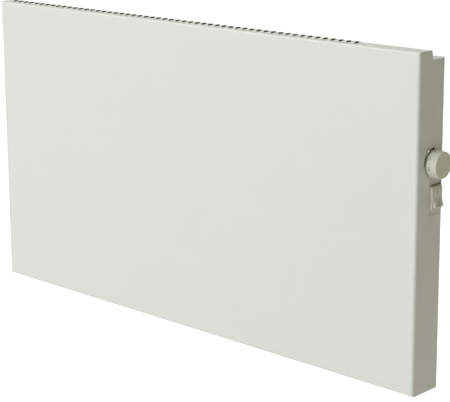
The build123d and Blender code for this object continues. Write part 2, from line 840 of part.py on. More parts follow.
def element_fin_body():
    # Extruded aluminium body with an X section round the rod.
    arms = []
    for angle in (arm_angle, -arm_angle, 180 - arm_angle, 180 + arm_angle):
        arm = Rot(0, 0, angle) * Pos(0, arm_length / 2) * Rectangle(arm_thickness, arm_length)
        arms.append(arm)
    section = Circle(element_hub_radius) + arms - Circle(rod_radius + rod_fit)
    plane = Plane(origin=(element_left_x, element_y, element_z), x_dir=(0, 1, 0), z_dir=(1, 0, 0))
    return extrude(plane * section, element_right_x - element_left_x)


def element_terminals():
    # Cold pin and a blade that points down, at each end of the rod.
    pieces = []
    for x, side in ((rod_left_x, -1), (rod_right_x, 1)):
        end = x + side * terminal_pin_length
        x0, x1 = sorted((x, end))
        pin = rod_x(x0, x1, element_y, element_z, terminal_pin_radius)
        x0, x1 = sorted((end, end + side * blade_thickness))
        tab = block(
            x0, x1, element_y - blade_width / 2, element_y + blade_width / 2,
            element_z - blade_length, element_z + 2 * terminal_pin_radius,
        )
        pieces.append(pin + tab)
    return Compound(pieces)


def overheat_cutout():
    # Snap-disc limiter: round can through the partition, flange and two blades on the control side.
    x0 = partition_x + inner_sheet
    can = rod_x(partition_x - cutout_nose, x0 + cutout_depth, element_y, cutout_z, cutout_radius)
    margin = cutout_flange_margin
    half = cutout_screw_spacing / 2 + margin
    flange = block(
        x0, x0 + cutout_flange, element_y - margin, element_y + margin, cutout_z - half, cutout_z + half
    )
    cutout = can + flange
    for side in (-1, 1):
        cutout = cutout - rod_x(
            x0 - 1, x0 + 2 * cutout_flange, element_y, cutout_z + side * cutout_screw_spacing / 2,
            screw_radius + screw_hole_clearance,
        )
    return cutout


def cutout_blade_places():
    return [(element_y + side * cutout_radius / 2, cutout_z) for side in (-1, 1)]


def cutout_terminals():
    x0 = partition_x + inner_sheet + cutout_depth
    return Compound([
        Pos(2 * x0 + blade_length, 0, 0) * mirror(blade(x0, x0 + blade_length, y, z), Plane.YZ)
        for y, z in cutout_blade_places()
    ])


def cutout_screws():
    seat = partition_x + inner_sheet + cutout_flange
    tip = partition_x - cutout_screw_length
    screws = []
    for side in (-1, 1):
        z = cutout_z + side * cutout_screw_spacing / 2
        head = rod_x(seat, seat + screw_head, element_y, z, screw_head_radius)
        screws.append(head + rod_x(tip, seat, element_y, z, screw_radius))
    return Compound(screws)


def bulb_x():
    return partition_x + inner_sheet + bulb_gap + bulb_radius


def bulb_y():
    return shield_y + 2 * inner_sheet + bulb_gap + bulb_radius


def sensor_bulb():
    low = bottom_z + bulb_height
    bulb = rod_z(low, low + bulb_length, bulb_x(), bulb_y(), bulb_radius)
    return chamfer(bulb.edges(), bulb_round)


def bulb_clips():
    # Two spring clips round the bulb, standing on the partition.
    clips = []
    half = clip_height / 2
    for share in (0.25, 0.75):
        z = bottom_z + bulb_height + share * bulb_length
        ring = rod_z(z - half, z + half, bulb_x(), bulb_y(), bulb_radius + clip_sheet)
        ring = ring - rod_z(z - clip_height, z + clip_height, bulb_x(), bulb_y(), bulb_radius + clip_fit)
        mouth = block(
            bulb_x(), bulb_x() + 3 * bulb_radius, bulb_y() - bulb_radius / 2, bulb_y() + bulb_radius / 2,
            z - clip_height, z + clip_height,
        )
        foot_end = bulb_x() - bulb_radius - clip_gap
        foot_start = partition_x + inner_sheet
        foot = block(foot_start, foot_end, bulb_y() - half, bulb_y() + half, z - half, z + half)
        clips.append(ring - mouth + foot)
    return Compound(clips)


def capillary_tube():
    start_x = fascia_back_x - thermostat_depth * 0.75
    start_y = knob_y - thermostat_width / 4
    start_z = knob_z - thermostat_height / 2
    turn_z = bottom_z + bulb_height + bulb_length + 3 * capillary_bend
    return wire(
        [
            (start_x, start_y, start_z),
            (start_x, start_y, turn_z),
            (bulb_x(), bulb_y(), turn_z),
            (bulb_x(), bulb_y(), bottom_z + bulb_height + bulb_length),
        ],
        capillary_radius, capillary_bend,
    )


def pole_x(n):
    return (block_left_x + block_right_x) / 2 + (n - 1) * pole_pitch


def terminal_block():
    # Three-pole mains block on the back sheet, with wire entries below and above and screw wells.
    low = block_top_z - block_height
    front = inner_back_y - block_depth
    body = block(block_left_x, block_right_x, front, inner_back_y, low, block_top_z)
    body = fillet(body.edges().filter_by(Axis.Y), block_corner)
    for n in range(3):
        x = pole_x(n)
        body = body - rod_z(low - 1, low + pole_depth, x, block_y, pole_radius)
        body = body - rod_z(block_top_z - pole_depth, block_top_z + 1, x, block_y, pole_radius)
        for z in (low + pole_screw_inset, block_top_z - pole_screw_inset):
            body = body - rod_y(front - 1, front + block_depth / 3, x, z, pole_screw_radius)
    for n in range(2):
        middle = (pole_x(n) + pole_x(n + 1)) / 2
        half = pole_groove_width / 2
        body = body - block(middle - half, middle + half, front - 1, front + pole_groove, low, block_top_z)
    return body


def earth_point():
    return pole_x(1), block_top_z - block_height - earth_drop


def earth_screw():
    x, z = earth_point()
    seat = inner_back_y - earth_standoff
    head = rod_y(seat - earth_head, seat, x, z, earth_head_radius)
    nut_plane = Plane(origin=(x, inner_back_y, z), z_dir=(0, -1, 0))
    nut = extrude(nut_plane * RegularPolygon(earth_head_radius, 6), 2 * earth_standoff / 3)
    return head + rod_y(seat, inner_back_y, x, z, screw_radius) + nut


def live_lead():
    y, z = switch_blade_places()[0]
    x_end = fascia_face_x - switch_depth - blade_length
    x_up = pole_x(0) + lead_radius
    start = (pole_x(0), block_y, block_top_z - lead_entry)
    return wire([start, (x_up, y, z), (x_end, y, z)], lead_radius, lead_bend)


def neutral_lead():
    y, z = switch_blade_places()[3]
    x_end = fascia_face_x - switch_depth - blade_length
    x_up = pole_x(1) - 2 * lead_radius
    start = (pole_x(1), block_y, block_top_z - lead_entry)
    return wire([start, (x_up, y, z), (x_end, y, z)], lead_radius, lead_bend)


def thermostat_lead():
    y0, z0 = switch_blade_places()[1]
    y1, z1 = thermostat_blade_places()[0]
    x0 = fascia_face_x - switch_depth - blade_length
    x1 = fascia_back_x - thermostat_depth - blade_length
    x_turn = x1 - lead_turn
    run = [(x0, y0, z0), (x_turn, y0, z0), (x_turn, y1, z1), (x1, y1, z1)]
    return wire(run, lead_radius, lead_bend_small)


def cutout_lead():
    y0, z0 = thermostat_blade_places()[1]
    y1, z1 = cutout_blade_places()[1]
    x0 = fascia_back_x - thermostat_depth - blade_length
    x1 = partition_x + inner_sheet + cutout_depth + blade_length
    x_turn = (x0 + x1) / 2
    run = [(x0, y0, z0), (x_turn, y0, z0), (x_turn, y1, z1), (x1, y1, z1)]
    return wire(run, lead_radius, lead_bend_small)


def element_lead():
    y0, z0 = cutout_blade_places()[0]
    x0 = partition_x + inner_sheet + cutout_depth + blade_length
    end_x = rod_right_x + terminal_pin_length + blade_thickness / 2
    end_z = element_z - blade_length - lead_gap
    low = end_z - 2 * blade_length
    x_turn = x0 + lead_turn
    return wire(
        [
            (x0, y0, z0),
            (x_turn, y0, z0),
            (x_turn, element_y, low),
            (end_x, element_y, low),
            (end_x, element_y, end_z),
        ],
        lead_radius, lead_bend_small,
    )


def return_lead():
    # From the rod's left end along the floor of the casing to the switch.
    y1, z1 = switch_blade_places()[2]
    start_x = rod_left_x - terminal_pin_length - blade_thickness / 2
    x_end = fascia_face_x - switch_depth - blade_length
    x_up = pole_x(1) + 2.5 * lead_radius
    run_z = return_run_z()
    return wire(
        [
            (start_x, element_y, element_z - blade_length - 2 * lead_gap),
            (start_x, return_run_y(), run_z),
            (x_up, return_run_y(), run_z),
            (x_up, y1, z1),
            (x_end, y1, z1),
        ],
        lead_radius, [lead_bend, lead_bend, lead_bend_small],
    )


def earth_lead():
    x, z = earth_point()
    y = inner_back_y - earth_standoff - earth_head / 2
    start = (pole_x(2), block_y, block_top_z - block_height + lead_entry)
    return wire([start, (pole_x(2), y, z), (x + earth_head_radius, y, z)], lead_radius, lead_bend_small)


def cable_gland():
    # Moulded bush in the back sheet for a mains cable, empty here.
    inner = inner_back_y - (gland_length - casing_sheet) / 2
    outer = inner + gland_length
    neck = rod_y(inner, outer, gland_x, gland_z, gland_neck_radius - gland_neck_clearance)
    flange_out = rod_y(back_y, back_y + gland_outer_lip, gland_x, gland_z, gland_flange_radius)
    inner_lip_radius = (gland_neck_radius + gland_flange_radius) / 2
    flange_in = rod_y(inner_back_y - gland_inner_lip, inner_back_y, gland_x, gland_z, inner_lip_radius)
    gland = neck + flange_out + flange_in - rod_y(inner - 1, outer + 1, gland_x, gland_z, gland_bore)
    return chamfer(gland.edges().group_by(Axis.Y)[-1], gland_chamfer)


def chassis_rivet_places():
    # Two in each foot that stands on the back sheet.
    foot = (inner_sheet + chassis_flange) / 2
    far = arm_length - foot
    return (
        [(partition_x + foot, z) for z in (bottom_z + rivet_inset, top_z - rivet_inset)]
        + [(shield_left_x + foot, z) for z in (bottom_z + rivet_inset, top_z - rivet_inset)]
        + [(support_left_x + foot, z) for z in (element_z - far, element_z + far)]
    )


def rivet_holes():
    return [
        rod_y(inner_back_y - 2 * inner_sheet, back_y + 1, x, z, blind_rivet_radius + rivet_clearance)
        for x, z in chassis_rivet_places()
    ]


def chassis_rivets():
    # Blind rivets, low head outside on the back and the drawn tail inside.
    rivets = []
    tail_end = inner_back_y - inner_sheet
    for x, z in chassis_rivet_places():
        tail = rod_y(tail_end - blind_rivet_tail, tail_end, x, z, 1.4 * blind_rivet_radius)
        shank = rod_y(inner_back_y - inner_sheet, back_y, x, z, blind_rivet_radius)
        head = rod_y(back_y, back_y + blind_rivet_head, x, z, 2 * blind_rivet_radius)
        rivets.append(tail + shank + head)
    return Compound(rivets)


# ---- wall bracket ----

def upright_places():
    return (-upright_x, upright_x)


def bracket_upright(x):
    # Hat section with two lanced hooks and a tab folded back at its top for the latch.
    half = upright_width / 2
    s = bracket_sheet
    front = upright_front_y
    rear = -2 * s
    low = -upright_bottom
    top = upright_top_z
    flange_top = rail_spacing / 2 + rail_height
    channel = block(x - half, x + half, front, front + s, low, top)
    channel = channel + block(x - half, x - half + s, front, rear + s, low, top)
    channel = channel + block(x + half - s, x + half, front, rear + s, low, top)
    channel = fillet(channel.edges().filter_by(Axis.Z).group_by(Axis.Y)[0], s)
    left_flange = block(x - half - upright_flange, x - half + s, rear, rear + s, low, flange_top)
    right_flange = block(x + half - s, x + half + upright_flange, rear, rear + s, low, flange_top)
    tab_rear = latch_y + latch_width
    tab = block(x - half + s / 2, x + half - s / 2, front, tab_rear, top - s, top)
    body = channel + left_flange + right_flange + tab
    body = body - block(x - half - 1, x + half + 1, tab_rear, 1, flange_top, top + 1)
    body = body - [lightening_hole(x, share * upright_bottom) for share in (-0.6, 0, 0.6)]
    for level in (hook_upper, hook_lower):
        body = body - block(
            x - hook_width / 2, x + hook_width / 2, front - 1, front + s + 1,
            level, level + hook_reach + hook_lance,
        )
        body = body + hook(x, level)
    for z in (-rail_spacing / 2, rail_spacing / 2):
        for side in (-1, 1):
            rivet_x = x + side * (half + upright_flange / 2)
            body = body - rod_y(rear - 1, 1, rivet_x, z, rivet_radius + rivet_clearance)
    return body - rod_z(top - s - 1, top + 1, x, latch_y, pivot_radius + rivet_clearance)


def lightening_hole(x, z):
    # Round hole through both side walls.
    middle = (upright_front_y - bracket_sheet) / 2
    return rod_x(x - upright_width, x + upright_width, middle, z, lightening_radius)


def hook(x, level):
    s = bracket_sheet
    half = hook_width / 2
    front = hook_tongue_y - s
    shelf = block(x - half, x + half, front, upright_front_y + s, level - s, level)
    tongue = block(x - half, x + half, front, hook_tongue_y, level - s, level + hook_reach)
    tongue = chamfer(tongue.edges().filter_by(Axis.Y).group_by(Axis.Z)[-1], hook_chamfer)
    return shelf + tongue


def bracket_rail(z):
    half = rail_height / 2
    end = upright_x + rail_overhang
    rail = block(-end, end, -bracket_sheet, 0, z - half, z + half)
    rail = fillet(rail.edges().filter_by(Axis.Y), rail_corner)
    for side in (-1, 1):
        slot = Pos(side * (upright_x - screw_slot_inset), 0, z) * Rot(90, 0, 0) * extrude(
            SlotOverall(screw_slot_length, 2 * screw_slot_radius), 3 * bracket_sheet, both=True
        )
        rail = rail - slot
        for edge in (-1, 1):
            rivet_x = side * upright_x + edge * (upright_width / 2 + upright_flange / 2)
            rail = rail - rod_y(-3 * bracket_sheet, 1, rivet_x, z, rivet_radius + rivet_clearance)
    return rail


def bracket_rivets():
    rivets = []
    for x in upright_places():
        for edge in (-1, 1):
            for z in (-rail_spacing / 2, rail_spacing / 2):
                rivet_x = x + edge * (upright_width / 2 + upright_flange / 2)
                seat = -2 * bracket_sheet
                head = rod_y(seat - rivet_head, seat, rivet_x, z, rivet_head_radius)
                head = chamfer(head.edges().group_by(Axis.Y)[0], rivet_head / 2)
                rivets.append(head + rod_y(seat, 0, rivet_x, z, rivet_radius))
    return Compound(rivets)


def back_pads():
    # Rubber pads on the uprights that the heater's back leans on.
    return Compound([
        rod_y(back_y + pad_clearance, upright_front_y, x, side * pad_spacing / 2, pad_radius)
        for x in upright_places()
        for side in (-1, 1)
    ])


def latch(x, side):
    # Turn button on the bracket's tab. It points outwards when open and over the casing when shut.
    z0 = upright_top_z + latch_play
    z1 = z0 + latch_thickness
    radius = latch_width / 2
    tip = x + side * (latch_length - radius)
    arm = block(min(x, tip), max(x, tip), latch_y - radius, latch_y + radius, z0, z1)
    arm = arm + rod_z(z0, z1, x, latch_y, radius) + rod_z(z0, z1, tip, latch_y, radius)
    grip_y = radius - latch_grip_inset
    grip = block(
        tip - latch_grip / 2, tip + latch_grip / 2, latch_y - grip_y, latch_y + grip_y,
        z1, z1 + latch_grip_rise,
    )
    return arm + grip - rod_z(z0 - 1, z1 + 1, x, latch_y, pivot_radius + pivot_fit)


def latch_pivots():
    pivots = []
    for x in upright_places():
        low = upright_top_z - bracket_sheet
        high = upright_top_z + 2 * latch_play + latch_thickness
        pin = rod_z(low, high, x, latch_y, pivot_radius)
        foot = rod_z(low - rivet_head, low, x, latch_y, pivot_foot_radius)
        head = rod_z(high, high + pivot_head, x, latch_y, rivet_head_radius)
        pivots.append(foot + pin + head)
    return Compound(pivots)


nodes = {
    "front_casing": front_casing(),
    "rear_casing": rear_casing(),
    "casing_screws": casing_screws(),
    "control_fascia": control_fascia(),
    "thermostat_body": thermostat_body(),
    "thermostat_terminals": thermostat_terminals(),
    "thermostat_screws": thermostat_screws(),
    "thermostat_shaft": thermostat_shaft(),
    "thermostat_knob": thermostat_knob(),
    "switch_body": switch_body(),
    "switch_rocker": switch_rocker(),
    "switch_terminals": switch_terminals(),
    "partition_plate": partition_plate(),
    "heat_shield": heat_shield(),
    "element_bracket": element_bracket(),
    "element_bush_left": element_bush(support_left_x, 1),
    "element_bush_right": element_bush(partition_x, -1),
    "heating_rod": heating_rod(),
    "element_fin_body": element_fin_body(),
    "element_terminals": element_terminals(),
    "overheat_cutout": overheat_cutout(),
    "cutout_terminals": cutout_terminals(),
    "cutout_screws": cutout_screws(),
    "sensor_bulb": sensor_bulb(),
    "bulb_clips": bulb_clips(),
    "capillary_tube": capillary_tube(),
    "terminal_block": terminal_block(),
    "earth_screw": earth_screw(),
    "live_lead": live_lead(),
    "neutral_lead": neutral_lead(),
    "thermostat_lead": thermostat_lead(),
    "cutout_lead": cutout_lead(),
    "element_lead": element_lead(),
    "return_lead": return_lead(),
    "earth_lead": earth_lead(),
    "cable_gland": cable_gland(),
    "chassis_rivets": chassis_rivets(),
    "bracket_upright_left": bracket_upright(-upright_x),
    "bracket_upright_right": bracket_upright(upright_x),
    "bracket_rail_upper": bracket_rail(rail_spacing / 2),
    "bracket_rail_lower": bracket_rail(-rail_spacing / 2),
    "bracket_rivets": bracket_rivets(),
    "back_pads": back_pads(),
    "latch_left": latch(-upright_x, -1),
    "latch_right": latch(upright_x, 1),
    "latch_pivots": latch_pivots(),
}

os.makedirs("parts", exist_ok=True)
for name, shape in nodes.items():
    export_step(shape, f"parts/{name}.step")
    print(name)
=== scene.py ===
import json
import math

import bmesh
import bpy
from mathutils import Matrix, Vector
from mathutils.bvhtree import BVHTree


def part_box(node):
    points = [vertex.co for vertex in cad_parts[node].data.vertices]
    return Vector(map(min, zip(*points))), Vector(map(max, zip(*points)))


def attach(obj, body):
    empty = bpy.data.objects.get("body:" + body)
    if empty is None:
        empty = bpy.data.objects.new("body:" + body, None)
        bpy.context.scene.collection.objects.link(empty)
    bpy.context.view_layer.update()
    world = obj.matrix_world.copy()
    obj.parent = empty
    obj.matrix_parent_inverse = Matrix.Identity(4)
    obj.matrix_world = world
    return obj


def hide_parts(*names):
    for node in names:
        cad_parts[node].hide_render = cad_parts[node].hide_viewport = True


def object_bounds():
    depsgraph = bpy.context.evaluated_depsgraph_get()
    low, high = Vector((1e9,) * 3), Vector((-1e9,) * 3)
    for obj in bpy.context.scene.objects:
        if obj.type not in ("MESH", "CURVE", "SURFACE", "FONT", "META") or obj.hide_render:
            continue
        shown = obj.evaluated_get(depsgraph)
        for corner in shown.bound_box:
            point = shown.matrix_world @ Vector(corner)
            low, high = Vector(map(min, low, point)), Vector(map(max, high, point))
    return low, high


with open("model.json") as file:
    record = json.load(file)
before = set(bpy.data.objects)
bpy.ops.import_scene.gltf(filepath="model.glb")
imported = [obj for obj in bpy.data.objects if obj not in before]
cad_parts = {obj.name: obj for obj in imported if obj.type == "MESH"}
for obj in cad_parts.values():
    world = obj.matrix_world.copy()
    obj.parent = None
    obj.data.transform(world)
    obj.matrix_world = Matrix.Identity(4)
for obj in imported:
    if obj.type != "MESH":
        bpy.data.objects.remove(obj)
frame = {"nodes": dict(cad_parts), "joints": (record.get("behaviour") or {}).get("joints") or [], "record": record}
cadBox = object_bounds()
nodes = frame["nodes"]
joints = {joint["name"]: joint for joint in frame["joints"]}
print("heater frame loaded,", len(nodes), "nodes")


def rgba(colour):
    return (*colour, 1.0)


def addToScene(thing):
    bpy.context.scene.collection.objects.link(thing)


# camera at the photograph's angle: to the heater's right, a little above it

cameraView = {
    "place": (1.2167, -1.3072, 0.4165),
    "turnLeft": 43.27,      # degrees from straight at the wall
    "lookDown": 12.37,
    "roll": -0.33,
    "lens": 119.86,
    "sensor": 36.0,
    "shift": -0.12,
    "nearest": 0.05,
    "farthest": 60.0,
}


def makeCamera():
    data = bpy.data.cameras.new("heaterCamera")
    data.lens = cameraView["lens"]
    data.sensor_width = cameraView["sensor"]
    data.shift_y = cameraView["shift"]
    data.clip_start = cameraView["nearest"]
    data.clip_end = cameraView["farthest"]
    camera = bpy.data.objects.new("heaterCamera", data)
    turn = math.radians(cameraView["turnLeft"])
    down = math.radians(cameraView["lookDown"])
    roll = math.radians(cameraView["roll"])
    ahead = Vector((-math.sin(turn) * math.cos(down), math.cos(turn) * math.cos(down), -math.sin(down)))
    right = Vector((math.cos(turn), math.sin(turn), 0.0))
    up = right.cross(ahead)
    rolledRight = right * math.cos(roll) + up * math.sin(roll)
    rolledUp = up * math.cos(roll) - right * math.sin(roll)
    axes = Matrix((rolledRight, rolledUp, -ahead)).transposed()
    camera.matrix_world = Matrix.Translation(cameraView["place"]) @ axes.to_4x4()
    addToScene(camera)
    bpy.context.scene.camera = camera
    bpy.context.scene.view_settings.view_transform = "Standard"


makeCamera()
print("camera set")


# studio: soft lamps in front, far left, above and low on the right, a pale floor, even light all round

studio = {
    "lamps": {
        "keyLamp": {"place": (-0.15, -2.6, 1.5), "wide": 1.5, "high": 1.4, "watts": 15.5},
        "fillLamp": {"place": (0.3, -5.0, 0.2), "wide": 2.2, "high": 2.2, "watts": 69.0},
        "edgeLamp": {"place": (-3.4, -3.2, 4.1), "wide": 2.8, "high": 3.0, "watts": 150.0},
        "lowLamp": {"place": (0.95, -0.05, -0.4), "wide": 0.4, "high": 0.4, "watts": 0.28},
        "topLamp": {"place": (0.36, -1.7, 3.2), "wide": 1.4, "high": 1.0, "watts": 14.0},
    },
    "lampAim": (0.0, 0.0, 0.02),
    "lampColour": (0.88, 0.91, 1.0),
    "roomLight": (0.2, 0.19, 0.112),
    "backdrop": (1.0, 1.0, 1.0),
    "floorDrop": 0.32,          # heater's lower edge to the floor
    "floorSize": 14.0,
    "floorPaint": (0.86, 0.86, 0.85),
    "floorGlow": 0.84,          # added to the floor as the camera sees it
    "glowColour": (0.98, 0.985, 1.06),   # evens out the warm room light
}


def makeLamp(name, values):
    data = bpy.data.lights.new(name, "AREA")
    data.shape = "ELLIPSE"
    data.size = values["wide"]
    data.size_y = values["high"]
    data.energy = values["watts"]
    data.color = studio["lampColour"]
    lamp = bpy.data.objects.new(name, data)
    place = Vector(values["place"])
    aim = Vector(studio["lampAim"]) - place
    lamp.rotation_mode = "QUATERNION"
    lamp.rotation_quaternion = aim.to_track_quat("-Z", "Y")
    lamp.location = place
    addToScene(lamp)


def whiteToTheEye(tree):
    # 1 where the camera, a mirror image or a view through glass meets the backdrop
    path = tree.nodes.new("ShaderNodeLightPath")
    first = tree.nodes.new("ShaderNodeMath")
    first.operation = "MAXIMUM"
    second = tree.nodes.new("ShaderNodeMath")
    second.operation = "MAXIMUM"
    tree.links.new(path.outputs["Is Camera Ray"], first.inputs[0])
    tree.links.new(path.outputs["Is Glossy Ray"], first.inputs[1])
    tree.links.new(first.outputs[0], second.inputs[0])
    tree.links.new(path.outputs["Is Transmission Ray"], second.inputs[1])
    return second.outputs[0]


def makeRoomLight():
    world = bpy.data.worlds.new("studioRoom")
    bpy.context.scene.world = world
    world.use_nodes = True
    tree = world.node_tree
    tree.nodes.clear()
    seen = tree.nodes.new("ShaderNodeBackground")
    seen.inputs["Color"].default_value = rgba(studio["backdrop"])
    light = tree.nodes.new("ShaderNodeBackground")
    light.inputs["Color"].default_value = rgba(studio["roomLight"])
    mix = tree.nodes.new("ShaderNodeMixShader")
    out = tree.nodes.new("ShaderNodeOutputWorld")
    tree.links.new(whiteToTheEye(tree), mix.inputs["Fac"])
    tree.links.new(light.outputs[0], mix.inputs[1])
    tree.links.new(seen.outputs[0], mix.inputs[2])
    tree.links.new(mix.outputs[0], out.inputs["Surface"])


def makeFloor():
    half = studio["floorSize"] / 2
    height = cadBox[0].z - studio["floorDrop"]
    mesh = bpy.data.meshes.new("studioFloor")
    corners = [(-half, -half, height), (half, -half, height), (half, half, height), (-half, half, height)]
    mesh.from_pydata(corners, [], [(0, 1, 2, 3)])
    floor = bpy.data.objects.new("studioFloor", mesh)
    addToScene(floor)
    material = bpy.data.materials.new("paleFloor")
    material.use_nodes = True
    tree = material.node_tree
    tree.nodes.clear()
    paint = tree.nodes.new("ShaderNodeBsdfDiffuse")
    paint.inputs["Color"].default_value = rgba(studio["floorPaint"])
    glow = tree.nodes.new("ShaderNodeEmission")
    glow.inputs["Color"].default_value = rgba(studio["glowColour"])
    share = tree.nodes.new("ShaderNodeMath")
    share.operation = "MULTIPLY"
    share.inputs[1].default_value = studio["floorGlow"]
    total = tree.nodes.new("ShaderNodeAddShader")
    side = tree.nodes.new("ShaderNodeNewGeometry")
    clear = tree.nodes.new("ShaderNodeBsdfTransparent")
    fromBelow = tree.nodes.new("ShaderNodeMixShader")
    out = tree.nodes.new("ShaderNodeOutputMaterial")
    tree.links.new(whiteToTheEye(tree), share.inputs[0])
    tree.links.new(share.outputs[0], glow.inputs["Strength"])
    tree.links.new(paint.outputs[0], total.inputs[0])
    tree.links.new(glow.outputs[0], total.inputs[1])
    tree.links.new(side.outputs["Backfacing"], fromBelow.inputs["Fac"])
    tree.links.new(total.outputs[0], fromBelow.inputs[1])
    tree.links.new(clear.outputs[0], fromBelow.inputs[2])
    tree.links.new(fromBelow.outputs[0], out.inputs["Surface"])
    mesh.materials.append(material)


for lampName, lampValues in studio["lamps"].items():
    makeLamp(lampName, lampValues)
makeRoomLight()
makeFloor()
print("studio lit")


# shader groups shared by the finishes

vectorInput = ("Vector", "NodeSocketVector", (0.0, 0.0, 0.0))


def newGroup(name, inputs, outputs):
    group = bpy.data.node_groups.new(name, "ShaderNodeTree")
    for label, kind, value in inputs:
        socket = group.interface.new_socket(label, in_out="INPUT", socket_type=kind)
        socket.default_value = value
    for label, kind in outputs:
        group.interface.new_socket(label, in_out="OUTPUT", socket_type=kind)
    start = group.nodes.new("NodeGroupInput")
    end = group.nodes.new("NodeGroupOutput")
    return group, start, end


def mathNode(tree, operation, first, second):
    node = tree.nodes.new("ShaderNodeMath")
    node.operation = operation
    for socket, value in zip(node.inputs, (first, second)):
        if isinstance(value, (int, float)):
            socket.default_value = value
        else:
            tree.links.new(value, socket)
    return node.outputs[0]


def noiseNode(tree, vector, scale, detail=2.0, roughness=0.5):
    node = tree.nodes.new("ShaderNodeTexNoise")
    node.inputs["Detail"].default_value = detail
    node.inputs["Roughness"].default_value = roughness
    if isinstance(scale, (int, float)):
        node.inputs["Scale"].default_value = scale
    else:
        tree.links.new(scale, node.inputs["Scale"])
    tree.links.new(vector, node.inputs["Vector"])
    return node.outputs["Fac"]


def rangeNode(tree, value, start, stop):
    # 0 at start, 1 at stop, held beyond both
    node = tree.nodes.new("ShaderNodeMapRange")
    tree.links.new(value, node.inputs["Value"])
    tree.links.new(start, node.inputs["From Min"])
    tree.links.new(stop, node.inputs["From Max"])
    return node.outputs["Result"]


def blendNode(tree, factor, first, second):
    # from the first colour to the second
    node = tree.nodes.new("ShaderNodeMix")
    node.data_type = "RGBA"
    tree.links.new(factor, node.inputs["Factor"])
    for label, colour in (("A", first), ("B", second)):
        if isinstance(colour, tuple):
            node.inputs[label].default_value = colour
        else:
            tree.links.new(colour, node.inputs[label])
    return node.outputs["Result"]


def makeGrainGroup():
    # two sizes of grain, as height
    group, start, end = newGroup(
        "surfaceGrain",
        [
            vectorInput,
            ("Coarse Scale", "NodeSocketFloat", 500.0),
            ("Fine Scale", "NodeSocketFloat", 2200.0),
            ("Fine Share", "NodeSocketFloat", 0.4),
        ],
        [("Height", "NodeSocketFloat")],
    )
    coarse = noiseNode(group, start.outputs["Vector"], start.outputs["Coarse Scale"])
    fine = noiseNode(group, start.outputs["Vector"], start.outputs["Fine Scale"])
    fineShare = mathNode(group, "MULTIPLY", fine, start.outputs["Fine Share"])
    total = mathNode(group, "ADD", coarse, fineShare)
    group.links.new(total, end.inputs["Height"])
    return group


def makeMottleGroup():
    # a finish that drifts between two colours over the surface, with fine specks
    group, start, end = newGroup(
        "colourMottle",
        [
            vectorInput,
            ("Colour A", "NodeSocketColor", (0.8, 0.8, 0.8, 1.0)),
            ("Colour B", "NodeSocketColor", (0.7, 0.7, 0.7, 1.0)),
            ("Scale", "NodeSocketFloat", 8.0),
            ("Speck Scale", "NodeSocketFloat", 900.0),
            ("Speck Amount", "NodeSocketFloat", 0.05),
        ],
        [("Colour", "NodeSocketColor"), ("Mask", "NodeSocketFloat")],
    )
    broad = noiseNode(group, start.outputs["Vector"], start.outputs["Scale"], detail=3.0)
    specks = noiseNode(group, start.outputs["Vector"], start.outputs["Speck Scale"], detail=1.0)
    blend = blendNode(group, broad, start.outputs["Colour A"], start.outputs["Colour B"])
    centred = mathNode(group, "SUBTRACT", specks, 0.5)
    scaled = mathNode(group, "MULTIPLY", centred, start.outputs["Speck Amount"])
    bright = mathNode(group, "ADD", scaled, 1.0)
    hue = group.nodes.new("ShaderNodeHueSaturation")
    group.links.new(blend, hue.inputs["Color"])
    group.links.new(bright, hue.inputs["Value"])
    group.links.new(hue.outputs["Color"], end.inputs["Colour"])
    group.links.new(broad, end.inputs["Mask"])
    return group


def makeDustGroup():
    # dust that settles on what faces up, thicker in patches
    group, start, end = newGroup(
        "settledDust",
        [
            vectorInput,
            ("Colour", "NodeSocketColor", (0.8, 0.8, 0.8, 1.0)),
            ("Dust Colour", "NodeSocketColor", (0.5, 0.48, 0.42, 1.0)),
            ("Amount", "NodeSocketFloat", 0.2),
            ("Scale", "NodeSocketFloat", 60.0),
        ],
        [("Colour", "NodeSocketColor"), ("Mask", "NodeSocketFloat")],
    )
    geometry = group.nodes.new("ShaderNodeNewGeometry")
    split = group.nodes.new("ShaderNodeSeparateXYZ")
    group.links.new(geometry.outputs["Normal"], split.inputs[0])
    upward = mathNode(group, "MAXIMUM", split.outputs["Z"], 0.0)
    patches = noiseNode(group, start.outputs["Vector"], start.outputs["Scale"], detail=4.0)
    amount = mathNode(group, "MULTIPLY", upward, start.outputs["Amount"])
    mask = mathNode(group, "MULTIPLY", amount, patches)
    blend = blendNode(group, mask, start.outputs["Colour"], start.outputs["Dust Colour"])
    group.links.new(blend, end.inputs["Colour"])
    group.links.new(mask, end.inputs["Mask"])
    return group


# factor on the painted shade's amount: least, plus up to swing in patches
paintedShadePatches = {"least": 0.75, "swing": 0.5}


